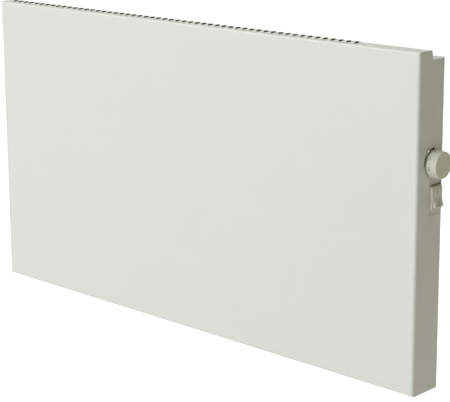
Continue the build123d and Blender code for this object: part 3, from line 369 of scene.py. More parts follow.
def makeSoilGroup():
    # painted shade on what lies sunk below a face across X, and a painted shade band that is darkest at its foot
    # and fades out upwards
    group, start, end = newGroup(
        "recessPaintedShade",
        [
            vectorInput,
            ("Colour", "NodeSocketColor", (0.8, 0.8, 0.8, 1.0)),
            ("Soil Colour", "NodeSocketColor", (0.2, 0.19, 0.15, 1.0)),
            ("Amount", "NodeSocketFloat", 0.5),
            ("Band Amount", "NodeSocketFloat", 0.5),
            ("Scale", "NodeSocketFloat", 300.0),
            ("Clean Depth", "NodeSocketFloat", 0.3362),
            ("Soiled Depth", "NodeSocketFloat", 0.3357),
            ("Back", "NodeSocketFloat", 0.334),
            ("Band Top", "NodeSocketFloat", 0.05),
            ("Band Foot", "NodeSocketFloat", 0.043),
        ],
        [("Colour", "NodeSocketColor")],
    )
    split = group.nodes.new("ShaderNodeSeparateXYZ")
    group.links.new(start.outputs["Vector"], split.inputs[0])
    x = split.outputs["X"]
    z = split.outputs["Z"]
    sunk = rangeNode(group, x, start.outputs["Clean Depth"], start.outputs["Soiled Depth"])
    inFront = mathNode(group, "GREATER_THAN", x, start.outputs["Back"])
    recess = mathNode(group, "MULTIPLY", mathNode(group, "MULTIPLY", sunk, inFront), start.outputs["Amount"])
    fade = rangeNode(group, z, start.outputs["Band Top"], start.outputs["Band Foot"])
    above = mathNode(group, "GREATER_THAN", z, start.outputs["Band Foot"])
    band = mathNode(group, "MULTIPLY", mathNode(group, "MULTIPLY", fade, above), start.outputs["Band Amount"])
    patches = noiseNode(group, start.outputs["Vector"], start.outputs["Scale"], detail=4.0)
    swing = mathNode(group, "MULTIPLY", patches, paintedShadePatches["swing"])
    uneven = mathNode(group, "ADD", swing, paintedShadePatches["least"])
    mask = mathNode(group, "MULTIPLY", mathNode(group, "MAXIMUM", recess, band), uneven)
    blend = blendNode(group, mask, start.outputs["Colour"], start.outputs["Soil Colour"])
    group.links.new(blend, end.inputs["Colour"])
    return group


grainGroup = makeGrainGroup()
mottleGroup = makeMottleGroup()
dustGroup = makeDustGroup()
paintedShadeGroup = makeSoilGroup()


def placeGroup(tree, group, vector, **values):
    node = tree.nodes.new("ShaderNodeGroup")
    node.node_tree = group
    tree.links.new(vector, node.inputs["Vector"])
    for label, value in values.items():
        words = "".join(" " + letter if letter.isupper() else letter for letter in label)
        node.inputs[words.strip().title()].default_value = value
    return node


def startMaterial(name, stretch=(1.0, 1.0, 1.0)):
    material = bpy.data.materials.new(name)
    material.use_nodes = True
    tree = material.node_tree
    shader = tree.nodes["Principled BSDF"]
    coordinates = tree.nodes.new("ShaderNodeTexCoord")
    mapping = tree.nodes.new("ShaderNodeMapping")
    mapping.inputs["Scale"].default_value = stretch
    tree.links.new(coordinates.outputs["Object"], mapping.inputs["Vector"])
    return material, tree, shader, mapping.outputs["Vector"]


def addBump(tree, shader, height, distance, strength=1.0):
    bump = tree.nodes.new("ShaderNodeBump")
    bump.inputs["Strength"].default_value = strength
    bump.inputs["Distance"].default_value = distance
    tree.links.new(height, bump.inputs["Height"])
    tree.links.new(bump.outputs["Normal"], shader.inputs["Normal"])


def addRoughness(tree, shader, mask, low, high):
    spread = tree.nodes.new("ShaderNodeMapRange")
    spread.inputs["To Min"].default_value = low
    spread.inputs["To Max"].default_value = high
    tree.links.new(mask, spread.inputs["Value"])
    tree.links.new(spread.outputs["Result"], shader.inputs["Roughness"])


def surfaceVector(tree):
    # the coordinates that startMaterial laid out
    return next(node for node in tree.nodes if node.bl_idname == "ShaderNodeMapping").outputs["Vector"]


def mottleNode(tree, vector, values):
    return placeGroup(
        tree, mottleGroup, vector,
        colourA=rgba(values["colour"]),
        colourB=rgba(values["drift"]),
        scale=values["driftScale"],
        speckScale=values["speckScale"],
        speckAmount=values["speckAmount"],
    )


def grainNode(tree, vector, values):
    return placeGroup(
        tree, grainGroup, vector,
        coarseScale=values["coarseGrain"],
        fineScale=values["fineGrain"],
        fineShare=values["fineShare"],
    )


def paintLike(name, values):
    # paint or moulded plastic: drifting colour, specks, grain and a little dust
    material, tree, shader, vector = startMaterial(name)
    mottle = mottleNode(tree, vector, values)
    dust = placeGroup(
        tree, dustGroup, vector,
        dustColour=rgba(values["dustColour"]),
        amount=values["dust"],
        scale=values["dustScale"],
    )
    tree.links.new(mottle.outputs["Colour"], dust.inputs["Colour"])
    tree.links.new(dust.outputs["Colour"], shader.inputs["Base Color"])
    grain = grainNode(tree, vector, values)
    addBump(tree, shader, grain.outputs["Height"], values["grainHeight"])
    addRoughness(tree, shader, grain.outputs["Height"], *values["roughness"])
    shader.inputs["Specular IOR Level"].default_value = values["specular"]
    return material


def metalLike(name, values):
    # bare or plated metal: drifting colour, drawn or rolled grain along one axis
    material, tree, shader, vector = startMaterial(name, values["stretch"])
    mottle = mottleNode(tree, vector, values)
    tree.links.new(mottle.outputs["Colour"], shader.inputs["Base Color"])
    grain = grainNode(tree, vector, values)
    addBump(tree, shader, grain.outputs["Height"], values["grainHeight"])
    addRoughness(tree, shader, mottle.outputs["Mask"], *values["roughness"])
    shader.inputs["Metallic"].default_value = 1.0
    return material


powderCoat = {
    "colour": (0.748, 0.762, 0.698),
    "drift": (0.722, 0.734, 0.676),
    "driftScale": 5.0,
    "speckScale": 1300.0,
    "speckAmount": 0.035,
    "dustColour": (0.52, 0.5, 0.43),
    "dust": 0.1,
    "dustScale": 90.0,
    "coarseGrain": 620.0,
    "fineGrain": 2400.0,
    "fineShare": 0.5,
    "grainHeight": 0.000035,
    "roughness": (0.26, 0.38),
    "specular": 0.46,
}

fasciaPlastic = {
    "colour": (0.69, 0.7, 0.61),
    "drift": (0.66, 0.67, 0.585),
    "driftScale": 30.0,
    "speckScale": 2600.0,
    "speckAmount": 0.03,
    "dustColour": (0.5, 0.48, 0.4),
    "dust": 0.15,
    "dustScale": 140.0,
    "coarseGrain": 2200.0,
    "fineGrain": 5200.0,
    "fineShare": 0.5,
    "grainHeight": 0.00002,
    "roughness": (0.4, 0.55),
    "specular": 0.45,
}

# painted shade in the fascia's sunk places, and a painted shade band that is darkest at the finger groove's upper
# edge and fades out up to the knob
fasciaPaintedShade = {
    "colour": (0.13, 0.125, 0.095),
    "amount": 0.78,
    "bandAmount": 0.34,
    "scale": 420.0,
    "cleanDepth": 0.0002,       # below the face
    "soiledDepth": 0.0007,
    "backMargin": 0.0003,
    "grooveTop": 0.0029,        # bezel's top to the groove's upper edge
}

knobPlastic = {
    **fasciaPlastic,
    "colour": (0.73, 0.735, 0.622),
    "drift": (0.71, 0.715, 0.602),
    "grainHeight": 0.000012,
    "roughness": (0.34, 0.46),
}

switchPlastic = {
    **fasciaPlastic,
    "colour": (0.72, 0.725, 0.628),
    "drift": (0.7, 0.705, 0.61),
    "grainHeight": 0.000006,
    "roughness": (0.22, 0.34),
    "dust": 0.2,
}

darkPlastic = {
    **fasciaPlastic,
    "colour": (0.022, 0.022, 0.023),
    "drift": (0.032, 0.031, 0.03),
    "dustColour": (0.2, 0.19, 0.17),
}

blockPlastic = {**fasciaPlastic, "colour": (0.74, 0.73, 0.68), "drift": (0.7, 0.69, 0.64)}

latchPlastic = {
    **fasciaPlastic,
    "colour": (0.17, 0.175, 0.178),
    "drift": (0.15, 0.153, 0.155),
    "dust": 0.5,
}

ceramicBody = {
    **fasciaPlastic,
    "colour": (0.82, 0.8, 0.74),
    "drift": (0.78, 0.755, 0.69),
    "roughness": (0.16, 0.28),
    "grainHeight": 0.000008,
}

blackRubber = {
    **darkPlastic,
    "colour": (0.018, 0.018, 0.018),
    "drift": (0.028, 0.028, 0.027),
    "roughness": (0.6, 0.8),
    "specular": 0.3,
    "dust": 0.4,
}

galvanisedSheet = {
    "colour": (0.6, 0.62, 0.635),
    "drift": (0.52, 0.54, 0.555),
    "driftScale": 26.0,
    "speckScale": 420.0,
    "speckAmount": 0.12,
    "coarseGrain": 160.0,
    "fineGrain": 1400.0,
    "fineShare": 0.3,
    "grainHeight": 0.00003,
    "roughness": (0.36, 0.5),
    "stretch": (1.0, 1.0, 1.0),
    "spangle": 150.0,
    "spangleWarp": 0.006,       # how far the crystals' edges wander
}

zincSteel = {
    **galvanisedSheet,
    "colour": (0.66, 0.66, 0.64),
    "drift": (0.56, 0.555, 0.53),
    "driftScale": 300.0,
    "coarseGrain": 2500.0,
    "fineGrain": 6000.0,
    "grainHeight": 0.00001,
    "roughness": (0.26, 0.4),
}

drawnAluminium = {
    **galvanisedSheet,
    "colour": (0.77, 0.78, 0.79),
    "drift": (0.7, 0.71, 0.72),
    "driftScale": 40.0,
    "stretch": (0.03, 1.0, 1.0),
    "coarseGrain": 900.0,
    "fineGrain": 3000.0,
    "grainHeight": 0.00002,
    "roughness": (0.3, 0.42),
}

heatTintedSteel = {**drawnAluminium, "colour": (0.3, 0.27, 0.24), "drift": (0.2, 0.19, 0.2)}

bareBrass = {**zincSteel, "colour": (0.68, 0.5, 0.22), "drift": (0.56, 0.4, 0.17)}

drawnCopper = {**zincSteel, "colour": (0.66, 0.34, 0.2), "drift": (0.52, 0.25, 0.14)}


def spangledMetal(name, values):
    # hot-dip zinc: flat crystals of slightly different shine
    material = metalLike(name, values)
    tree = material.node_tree
    shader = tree.nodes["Principled BSDF"]
    vector = surfaceVector(tree)
    warp = tree.nodes.new("ShaderNodeTexNoise")
    warp.inputs["Scale"].default_value = values["spangle"]
    tree.links.new(vector, warp.inputs["Vector"])
    bend = tree.nodes.new("ShaderNodeMix")
    bend.data_type = "VECTOR"
    bend.inputs["Factor"].default_value = values["spangleWarp"]
    tree.links.new(vector, bend.inputs["A"])
    tree.links.new(warp.outputs["Color"], bend.inputs["B"])
    crystals = tree.nodes.new("ShaderNodeTexVoronoi")
    crystals.inputs["Scale"].default_value = values["spangle"]
    tree.links.new(bend.outputs["Result"], crystals.inputs["Vector"])
    shine = tree.nodes.new("ShaderNodeSeparateColor")
    tree.links.new(crystals.outputs["Color"], shine.inputs["Color"])
    addRoughness(tree, shader, shine.outputs["Red"], *values["roughness"])
    tint = blendNode(tree, shine.outputs["Green"], rgba(values["colour"]), rgba(values["drift"]))
    tree.links.new(tint, shader.inputs["Base Color"])
    return material


def soiledFascia(name, values):
    # the fascia's plastic with patchy painted shade in its sunk places and a painted shade band above its finger
    # groove
    material = paintLike(name, values)
    tree = material.node_tree
    shader = tree.nodes["Principled BSDF"]
    vector = surfaceVector(tree)
    unshadedColour = shader.inputs["Base Color"].links[0].from_socket
    low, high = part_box("control_fascia")
    paintedShade = placeGroup(
        tree, paintedShadeGroup, vector,
        soilColour=rgba(fasciaPaintedShade["colour"]),
        amount=fasciaPaintedShade["amount"],
        bandAmount=fasciaPaintedShade["bandAmount"],
        scale=fasciaPaintedShade["scale"],
        cleanDepth=high.x - fasciaPaintedShade["cleanDepth"],
        soiledDepth=high.x - fasciaPaintedShade["soiledDepth"],
        back=low.x + fasciaPaintedShade["backMargin"],
        bandTop=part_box("thermostat_knob")[0].z,
        bandFoot=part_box("switch_body")[1].z + fasciaPaintedShade["grooveTop"],
    )
    tree.links.new(unshadedColour, paintedShade.inputs["Colour"])
    tree.links.new(paintedShade.outputs["Colour"], shader.inputs["Base Color"])
    return material


leadSleeve = {
    **switchPlastic,
    "driftScale": 60.0,
    "grainHeight": 0.00001,
    "roughness": (0.4, 0.5),
    "brown": ((0.075, 0.028, 0.012), (0.06, 0.022, 0.01)),
    "blue": ((0.02, 0.06, 0.3), (0.016, 0.05, 0.25)),
    "white": ((0.72, 0.71, 0.68), (0.66, 0.65, 0.61)),
    "earth": ((0.03, 0.16, 0.03), (0.025, 0.13, 0.025)),
    "stripe": (0.62, 0.5, 0.03),
    "stripeScale": 210.0,
}


def leadMaterial(name, colours):
    return paintLike(name, {**leadSleeve, "colour": colours[0], "drift": colours[1]})


def earthLeadMaterial(name):
    # green sleeve with a yellow stripe
    green = leadSleeve["earth"]
    material = leadMaterial(name, green)
    tree = material.node_tree
    shader = tree.nodes["Principled BSDF"]
    vector = surfaceVector(tree)
    stripe = tree.nodes.new("ShaderNodeTexWave")
    stripe.bands_direction = "X"
    stripe.inputs["Scale"].default_value = leadSleeve["stripeScale"]
    tree.links.new(vector, stripe.inputs["Vector"])
    step = mathNode(tree, "GREATER_THAN", stripe.outputs["Fac"], 0.5)
    striped = blendNode(tree, step, rgba(green[0]), rgba(leadSleeve["stripe"]))
    tree.links.new(striped, shader.inputs["Base Color"])
    return material


finishes = {
    "casing_paint": paintLike("casingPowderCoat", powderCoat),
    # the fascia's finish carries painted shade in its recesses and in a band above the finger groove
    "fascia_plastic": soiledFascia("fasciaPlastic", fasciaPlastic),
    "knob_plastic": paintLike("knobPlastic", knobPlastic),
    "switch_plastic": paintLike("switchPlastic", switchPlastic),
    "dark_plastic": paintLike("darkPlastic", darkPlastic),
    "block_plastic": paintLike("blockPlastic", blockPlastic),
    "latch_plastic": paintLike("latchPlastic", latchPlastic),
    "ceramic": paintLike("ceramicBody", ceramicBody),
    "black_rubber": paintLike("blackRubber", blackRubber),
    "galvanised": spangledMetal("galvanisedSheet", galvanisedSheet),
    "zinc_steel": metalLike("zincSteel", zincSteel),
    "aluminium": metalLike("drawnAluminium", drawnAluminium),
    "rod_steel": metalLike("heatTintedSteel", heatTintedSteel),
    "brass": metalLike("bareBrass", bareBrass),
    "copper": metalLike("drawnCopper", drawnCopper),
    "lead_brown": leadMaterial("brownLead", leadSleeve["brown"]),
    "lead_blue": leadMaterial("blueLead", leadSleeve["blue"]),
    "lead_white": leadMaterial("whiteLead", leadSleeve["white"]),
    "lead_earth": earthLeadMaterial("earthLead"),
}

slotOf = {subpart["node"]: subpart["material_slot"] for subpart in frame["record"]["subparts"]}
for nodeName, slotName in slotOf.items():
    carried = nodes[nodeName].data.materials
    carried.clear()
    carried.append(finishes[slotName])
print("finishes on", len(slotOf), "nodes")


# helpers for the pieces that are made here

def pieceFrom(mesh, name, body, material):
    piece = bpy.data.objects.new(name, mesh)
    addToScene(piece)
    mesh.materials.clear()
    mesh.materials.append(material)
    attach(piece, body)
    return piece


def evaluatedMesh(holder):
    # what the holder becomes once its modifiers or its text are worked out
    bpy.context.view_layer.update()
    evaluated = holder.evaluated_get(bpy.context.evaluated_depsgraph_get())
    return bpy.data.meshes.new_from_object(evaluated)


def meshFrom(work, name):
    mesh = bpy.data.meshes.new(name)
    work.to_mesh(mesh)
    work.free()
    return mesh


def joinTo(total, work):
    part = meshFrom(work, "joinedPart")
    total.from_mesh(part)
    bpy.data.meshes.remove(part)


def islands(node):
    # the separate solids of a node, each as its lowest and highest corner
    work = bmesh.new()
    work.from_mesh(nodes[node].data)
    bmesh.ops.remove_doubles(work, verts=work.verts, dist=1e-6)
    left = set(work.verts)
    found = []
    while left:
        stack = [left.pop()]
        members = []
        while stack:
            vert = stack.pop()
            members.append(vert.co.copy())
            for edge in vert.link_edges:
                other = edge.other_vert(vert)
                if other in left:
                    left.remove(other)
                    stack.append(other)
        low = Vector([min(co[i] for co in members) for i in range(3)])
        high = Vector([max(co[i] for co in members) for i in range(3)])
        found.append((low, high))
    work.free()
    return sorted(found, key=lambda pair: tuple(round(value, 6) for value in pair[0]))


# screws and rivets, made by Geometry Nodes in the places of the CAD's plain ones

# outlines of heads, from the rim's lower edge to the axis, as shares of radius and height
headOutlines = {
    "pan": [(1.0, 0.0), (1.0, 0.42), (0.96, 0.62), (0.88, 0.78), (0.74, 0.9), (0.5, 0.97), (0.0, 1.0)],
    "dome": [
        (1.0, 0.0), (0.99, 0.2), (0.93, 0.42), (0.82, 0.62),
        (0.66, 0.79), (0.46, 0.91), (0.24, 0.98), (0.0, 1.0),
    ],
    "blind": [
        (1.0, 0.0), (0.98, 0.24), (0.86, 0.56), (0.66, 0.86),
        (0.46, 1.0), (0.38, 0.96), (0.35, 0.5), (0.0, 0.42),
    ],
}

fastenerDetail = {
    "headSides": 32,
    "shankSides": 24,
    "slotLength": 1.05,         # of a cross recess, as a share of the head's radius
    "weld": 1e-6,
}

fasteners = {
    "casing_screws": {
        "piece": "casingScrewHeads", "body": "heater", "axis": (0, 0, -1),
        "head": 0.0018, "outline": "pan", "shank": 0.0019, "cross": (0.0009, 0.0012), "seed": 3,
    },
    "thermostat_screws": {
        "piece": "thermostatScrewHeads", "body": "heater", "axis": (1, 0, 0),
        "head": 0.0018, "outline": "pan", "shank": 0.00125, "cross": (0.0006, 0.001), "seed": 8,
    },
    "cutout_screws": {
        "piece": "cutoutScrewHeads", "body": "heater", "axis": (1, 0, 0),
        "head": 0.0018, "outline": "pan", "shank": 0.0019, "cross": (0.0009, 0.0012), "seed": 5,
    },
    "chassis_rivets": {
        "piece": "chassisRivetHeads", "body": "heater", "axis": (0, 1, 0),
        "head": 0.0008, "outline": "blind", "shank": 0.0016, "tail": (0.00224, 0.0015), "seed": 1,
    },
    "bracket_rivets": {
        "piece": "bracketRivetHeads", "body": "bracket", "axis": (0, -1, 0),
        "head": 0.0012, "outline": "dome", "shank": 0.002, "seed": 1,
    },
}


def curveNode(tree, values):
    node = tree.nodes.new("ShaderNodeFloatCurve")
    curve = node.mapping.curves[0]
    last = len(values) - 1
    curve.points[0].location = (0.0, values[0])
    curve.points[1].location = (1.0, values[last])
    for n in range(1, last):
        curve.points.new(n / last, values[n])
    for point in curve.points:
        point.handle_type = "VECTOR"
    node.mapping.update()
    return node


def vectorNode(tree, **parts):
    node = tree.nodes.new("ShaderNodeCombineXYZ")
    for letter, value in parts.items():
        tree.links.new(value, node.inputs[letter.upper()])
    return node.outputs[0]


def turnedHead(tree, outline, radius, height):
    # a grid rolled up round the axis and closed at both poles
    profile = [(0.0, 0.0)] + outline
    grid = tree.nodes.new("GeometryNodeMeshGrid")
    grid.inputs["Size X"].default_value = 1.0
    grid.inputs["Size Y"].default_value = 1.0
    grid.inputs["Vertices X"].default_value = len(profile)
    grid.inputs["Vertices Y"].default_value = fastenerDetail["headSides"] + 1
    place = tree.nodes.new("GeometryNodeInputPosition")
    split = tree.nodes.new("ShaderNodeSeparateXYZ")
    tree.links.new(place.outputs[0], split.inputs[0])
    along = mathNode(tree, "ADD", split.outputs["X"], 0.5)
    around = mathNode(tree, "MULTIPLY", mathNode(tree, "SUBTRACT", 0.5, split.outputs["Y"]), 2 * math.pi)
    radiusCurve = curveNode(tree, [point[0] for point in profile])
    heightCurve = curveNode(tree, [point[1] for point in profile])
    tree.links.new(along, radiusCurve.inputs["Value"])
    tree.links.new(along, heightCurve.inputs["Value"])
    reach = mathNode(tree, "MULTIPLY", radiusCurve.outputs[0], radius)
    rolled = vectorNode(
        tree,
        x=mathNode(tree, "MULTIPLY", reach, mathNode(tree, "COSINE", around, 0.0)),
        y=mathNode(tree, "MULTIPLY", reach, mathNode(tree, "SINE", around, 0.0)),
        z=mathNode(tree, "MULTIPLY", heightCurve.outputs[0], height),
    )
    roll = tree.nodes.new("GeometryNodeSetPosition")
    tree.links.new(grid.outputs["Mesh"], roll.inputs["Geometry"])
    tree.links.new(rolled, roll.inputs["Position"])
    closed = tree.nodes.new("GeometryNodeMergeByDistance")
    closed.inputs["Distance"].default_value = fastenerDetail["weld"]
    tree.links.new(roll.outputs[0], closed.inputs["Geometry"])
    return closed.outputs[0]


def crossRecess(tree, head, radius, height, width, depth):
    # two crossing slots sunk in the crown
    cut = tree.nodes.new("GeometryNodeMeshBoolean")
    cut.operation = "DIFFERENCE"
    cut.solver = "MANIFOLD"
    tree.links.new(head, cut.inputs["Mesh 1"])
    size = vectorNode(
        tree,
        x=mathNode(tree, "MULTIPLY", radius, fastenerDetail["slotLength"]),
        y=width,
        z=mathNode(tree, "MULTIPLY", depth, 2.0),
    )
    for turn in (0.0, math.pi / 2):
        slot = tree.nodes.new("GeometryNodeMeshCube")
        tree.links.new(size, slot.inputs["Size"])
        move = tree.nodes.new("GeometryNodeTransform")
        move.inputs["Rotation"].default_value = (0.0, 0.0, turn)
        tree.links.new(slot.outputs["Mesh"], move.inputs["Geometry"])
        tree.links.new(vectorNode(tree, z=height), move.inputs["Translation"])
        tree.links.new(move.outputs[0], cut.inputs["Mesh 2"])
    return cut.outputs["Mesh"]


def rod(tree, radius, length, top):
    # a cylinder down the axis, its upper end at top
    cylinder = tree.nodes.new("GeometryNodeMeshCylinder")
    cylinder.inputs["Vertices"].default_value = fastenerDetail["shankSides"]
    tree.links.new(radius, cylinder.inputs["Radius"])
    tree.links.new(length, cylinder.inputs["Depth"])
    middle = mathNode(tree, "SUBTRACT", top, mathNode(tree, "MULTIPLY", length, 0.5))
    move = tree.nodes.new("GeometryNodeTransform")
    tree.links.new(cylinder.outputs["Mesh"], move.inputs["Geometry"])
    tree.links.new(vectorNode(tree, z=middle), move.inputs["Translation"])
    return move.outputs[0]


def fastenerTree(name, outline, crossed, tailed):
    # a head on a shank at each point, its crown along Axis, turned at random about it
    tree = bpy.data.node_groups.new(name, "GeometryNodeTree")
    lengths = ["Head Radius", "Head Height", "Shank Radius", "Shank Length"]
    if crossed:
        lengths += ["Recess Width", "Recess Depth"]
    if tailed:
        lengths += ["Tail Radius", "Tail Length"]
    sockets = [("Points", "NodeSocketGeometry")]
    sockets += [(label, "NodeSocketFloat") for label in lengths]
    sockets += [("Axis", "NodeSocketVector"), ("Seed", "NodeSocketInt"), ("Material", "NodeSocketMaterial")]
    for label, kind in sockets:
        tree.interface.new_socket(label, in_out="INPUT", socket_type=kind)
    tree.interface.new_socket("Mesh", in_out="OUTPUT", socket_type="NodeSocketGeometry")
    inputs = tree.nodes.new("NodeGroupInput").outputs
    end = tree.nodes.new("NodeGroupOutput")

    head = turnedHead(tree, outline, inputs["Head Radius"], inputs["Head Height"])
    if crossed:
        head = crossRecess(
            tree, head,
            inputs["Head Radius"], inputs["Head Height"],
            inputs["Recess Width"], inputs["Recess Depth"],
        )
    whole = tree.nodes.new("GeometryNodeJoinGeometry")
    tree.links.new(head, whole.inputs[0])
    if tailed:
        reach = mathNode(tree, "SUBTRACT", inputs["Shank Length"], inputs["Tail Length"])
        under = mathNode(tree, "MULTIPLY", reach, -1.0)
        tree.links.new(rod(tree, inputs["Shank Radius"], reach, 0.0), whole.inputs[0])
        tree.links.new(rod(tree, inputs["Tail Radius"], inputs["Tail Length"], under), whole.inputs[0])
    else:
        tree.links.new(rod(tree, inputs["Shank Radius"], inputs["Shank Length"], 0.0), whole.inputs[0])

    spin = tree.nodes.new("FunctionNodeRandomValue")
    spin.data_type = "FLOAT"
    spin.inputs[3].default_value = 2 * math.pi
    tree.links.new(inputs["Seed"], spin.inputs["Seed"])
    aim = tree.nodes.new("FunctionNodeAlignRotationToVector")
    aim.axis = "Z"
    tree.links.new(inputs["Axis"], aim.inputs["Vector"])
    twist = tree.nodes.new("FunctionNodeAxisAngleToRotation")
    twist.inputs["Axis"].default_value = (0.0, 0.0, 1.0)
    tree.links.new(spin.outputs[1], twist.inputs["Angle"])
    turn = tree.nodes.new("FunctionNodeRotateRotation")
    turn.rotation_space = "LOCAL"
    tree.links.new(aim.outputs[0], turn.inputs["Rotation"])
    tree.links.new(twist.outputs[0], turn.inputs["Rotate By"])
    spread = tree.nodes.new("GeometryNodeInstanceOnPoints")
    tree.links.new(inputs["Points"], spread.inputs["Points"])
    tree.links.new(whole.outputs[0], spread.inputs["Instance"])
    tree.links.new(turn.outputs[0], spread.inputs["Rotation"])
    real = tree.nodes.new("GeometryNodeRealizeInstances")
    tree.links.new(spread.outputs[0], real.inputs[0])
    finish = tree.nodes.new("GeometryNodeSetMaterial")
    tree.links.new(real.outputs[0], finish.inputs["Geometry"])
    tree.links.new(inputs["Material"], finish.inputs["Material"])
    tree.links.new(finish.outputs[0], end.inputs["Mesh"])
    return tree


def runTree(points, tree, values):
    # the tree over a set of points, as one plain mesh
    cloud = bpy.data.meshes.new("treePoints")
    cloud.from_pydata(points, [], [])
    holder = bpy.data.objects.new("treeHolder", cloud)
    addToScene(holder)
    modifier = holder.modifiers.new("nodes", "NODES")
    modifier.node_group = tree
    for item in tree.interface.items_tree:
        if item.in_out == "INPUT" and item.name in values:
            modifier[item.identifier] = values[item.name]
    mesh = evaluatedMesh(holder)
    holder.modifiers.remove(modifier)
    bpy.data.objects.remove(holder)
    bpy.data.meshes.remove(cloud)
    return mesh


def makeFasteners(node, values):
    axis = Vector(values["axis"])
    direction = max(range(3), key=lambda n: abs(axis[n]))
    across = (direction + 1) % 3
    seats = []
    for low, high in islands(node):
        crown = high if axis[direction] > 0 else low
        seat = (low + high) / 2
        seat[direction] = crown[direction] - axis[direction] * values["head"]
        seats.append(seat)
    low, high = islands(node)[0]
    slot = slotOf[node]
    settings = {
        "Head Radius": (high[across] - low[across]) / 2,
        "Head Height": values["head"],
        "Shank Radius": values["shank"],
        "Shank Length": high[direction] - low[direction] - values["head"],
        "Axis": values["axis"],
        "Seed": values["seed"],
        "Material": finishes[slot],
    }
    if "cross" in values:
        settings["Recess Width"], settings["Recess Depth"] = values["cross"]
    if "tail" in values:
        settings["Tail Radius"], settings["Tail Length"] = values["tail"]
    outline = headOutlines[values["outline"]]
    tree = fastenerTree(values["piece"], outline, "cross" in values, "tail" in values)
    piece = pieceFrom(runTree(seats, tree, settings), values["piece"], values["body"], finishes[slot])
    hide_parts(node)


for fastenerNode, fastenerValues in fasteners.items():
    makeFasteners(fastenerNode, fastenerValues)
print("screws and rivets placed")


# numerals round the knob's rim, marks on the rocker and an index mark beside the knob

markInk = {
    "colour": (0.055, 0.055, 0.052),
    "drift": (0.085, 0.085, 0.08),
    "driftScale": 700.0,
    "speckScale": 4000.0,
    "speckAmount": 0.2,
    "roughness": (0.42, 0.6),
    "proud": 0.00008,
    "sink": 0.0002,
}


def makeInk():
    material, tree, shader, vector = startMaterial("printedInk")
    mottle = mottleNode(tree, vector, markInk)
    tree.links.new(mottle.outputs["Colour"], shader.inputs["Base Color"])
    addRoughness(tree, shader, mottle.outputs["Mask"], *markInk["roughness"])
    return material


inkMaterial = makeInk()


dial = {
    "numbers": (1, 2, 3, 4, 5, 6, 7),
    "pitch": 41.5,              # degrees from one number to the next
    "twoAt": -9.9,              # degrees from the front towards the top, dial at rest
    "height": 0.0034,
    "fromRear": 0.0027,         # knob's rear edge to the middle of the numbers
    "taper": 0.0008,            # the knob's face is this much smaller in radius
    "slices": 7,                # a number bends round the rim in this many steps
    "curveSteps": 4,
}


def flatText(letters, height):
    # a character as a filled shape in the XY plane, centred, of that height
    curve = bpy.data.curves.new("characterCurve", "FONT")
    curve.body = letters
    curve.align_x = "CENTER"
    curve.align_y = "CENTER"
    curve.resolution_u = dial["curveSteps"]
    holder = bpy.data.objects.new("characterHolder", curve)
    addToScene(holder)
    mesh = evaluatedMesh(holder)
    bpy.data.objects.remove(holder)
    bpy.data.curves.remove(curve)
    work = bmesh.new()
    work.from_mesh(mesh)
    bpy.data.meshes.remove(mesh)
    bmesh.ops.remove_doubles(work, verts=work.verts, dist=1e-5)
    lows = [min(vert.co[i] for vert in work.verts) for i in range(2)]
    highs = [max(vert.co[i] for vert in work.verts) for i in range(2)]
    scale = height / (highs[1] - lows[1])
    for vert in work.verts:
        vert.co.x = (vert.co.x - (lows[0] + highs[0]) / 2) * scale
        vert.co.y = (vert.co.y - (lows[1] + highs[1]) / 2) * scale
        vert.co.z = 0.0
    return work


def thicken(work, proud, sink):
    # a flat shape in the XY plane becomes a slab from -sink to proud
    for vert in work.verts:
        vert.co.z = proud
    faces = list(work.faces)
    if faces and faces[0].normal.z < 0:
        bmesh.ops.reverse_faces(work, faces=faces)
    made = bmesh.ops.extrude_face_region(work, geom=faces, use_keep_orig=True)
    for item in made["geom"]:
        if isinstance(item, bmesh.types.BMVert):
            item.co.z = -sink
    bmesh.ops.recalc_face_normals(work, faces=work.faces)


def wrapOnKnob(work, angle):
    # text's right runs out along the knob's axis, its up runs round the rim
    low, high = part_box("thermostat_knob")
    axis = Vector(joints["thermostat_turn"]["pos_m"])
    rearRadius = (high.z - low.z) / 2
    faceRadius = rearRadius - dial["taper"]
    for share in range(1, dial["slices"]):
        at = dial["height"] * (share / dial["slices"] - 0.5)
        geometry = list(work.verts) + list(work.edges) + list(work.faces)
        bmesh.ops.bisect_plane(work, geom=geometry, plane_co=(0, at, 0), plane_no=(0, 1, 0))
    for vert in work.verts:
        across, along, out = vert.co
        x = low.x + dial["fromRear"] + across
        taper = (x - low.x) / (high.x - low.x)
        surface = rearRadius + (faceRadius - rearRadius) * taper
        turn = math.radians(angle) + along / surface
        radius = surface + out
        vert.co = Vector((x, axis.y - radius * math.cos(turn), axis.z + radius * math.sin(turn)))


def makeDialNumbers():
    total = bmesh.new()
    for number in dial["numbers"]:
        work = flatText(str(number), dial["height"])
        thicken(work, markInk["proud"], markInk["sink"])
        wrapOnKnob(work, dial["twoAt"] + (number - 2) * dial["pitch"])
        joinTo(total, work)
    bmesh.ops.recalc_face_normals(total, faces=total.faces)
    mesh = meshFrom(total, "dialNumbers")
    pieceFrom(mesh, "dialNumbers", "thermostat_dial", inkMaterial)


makeDialNumbers()
print("dial numbered")


rockerMarks = {
    "barHeight": 0.0044,
    "barWidth": 0.0007,
    "barRise": 0.0056,          # rocker's middle line to the bar's middle
    "ringRadius": 0.0019,
    "ringWidth": 0.0006,
    "ringDrop": 0.0058,         # rocker's middle line to the ring's middle
    "ringSides": 32,
}

farRight = 1.0      # well clear of the heater's right end


def surfaceAt(node, y, z):
    # point and outward normal where a line from +X meets the node
    work = bmesh.new()
    work.from_mesh(nodes[node].data)
    tree = BVHTree.FromBMesh(work)
    point, normal, _, _ = tree.ray_cast(Vector((farRight, y, z)), Vector((-1.0, 0.0, 0.0)))
    work.free()
    if normal.x < 0:
        normal = -normal
    return point, normal


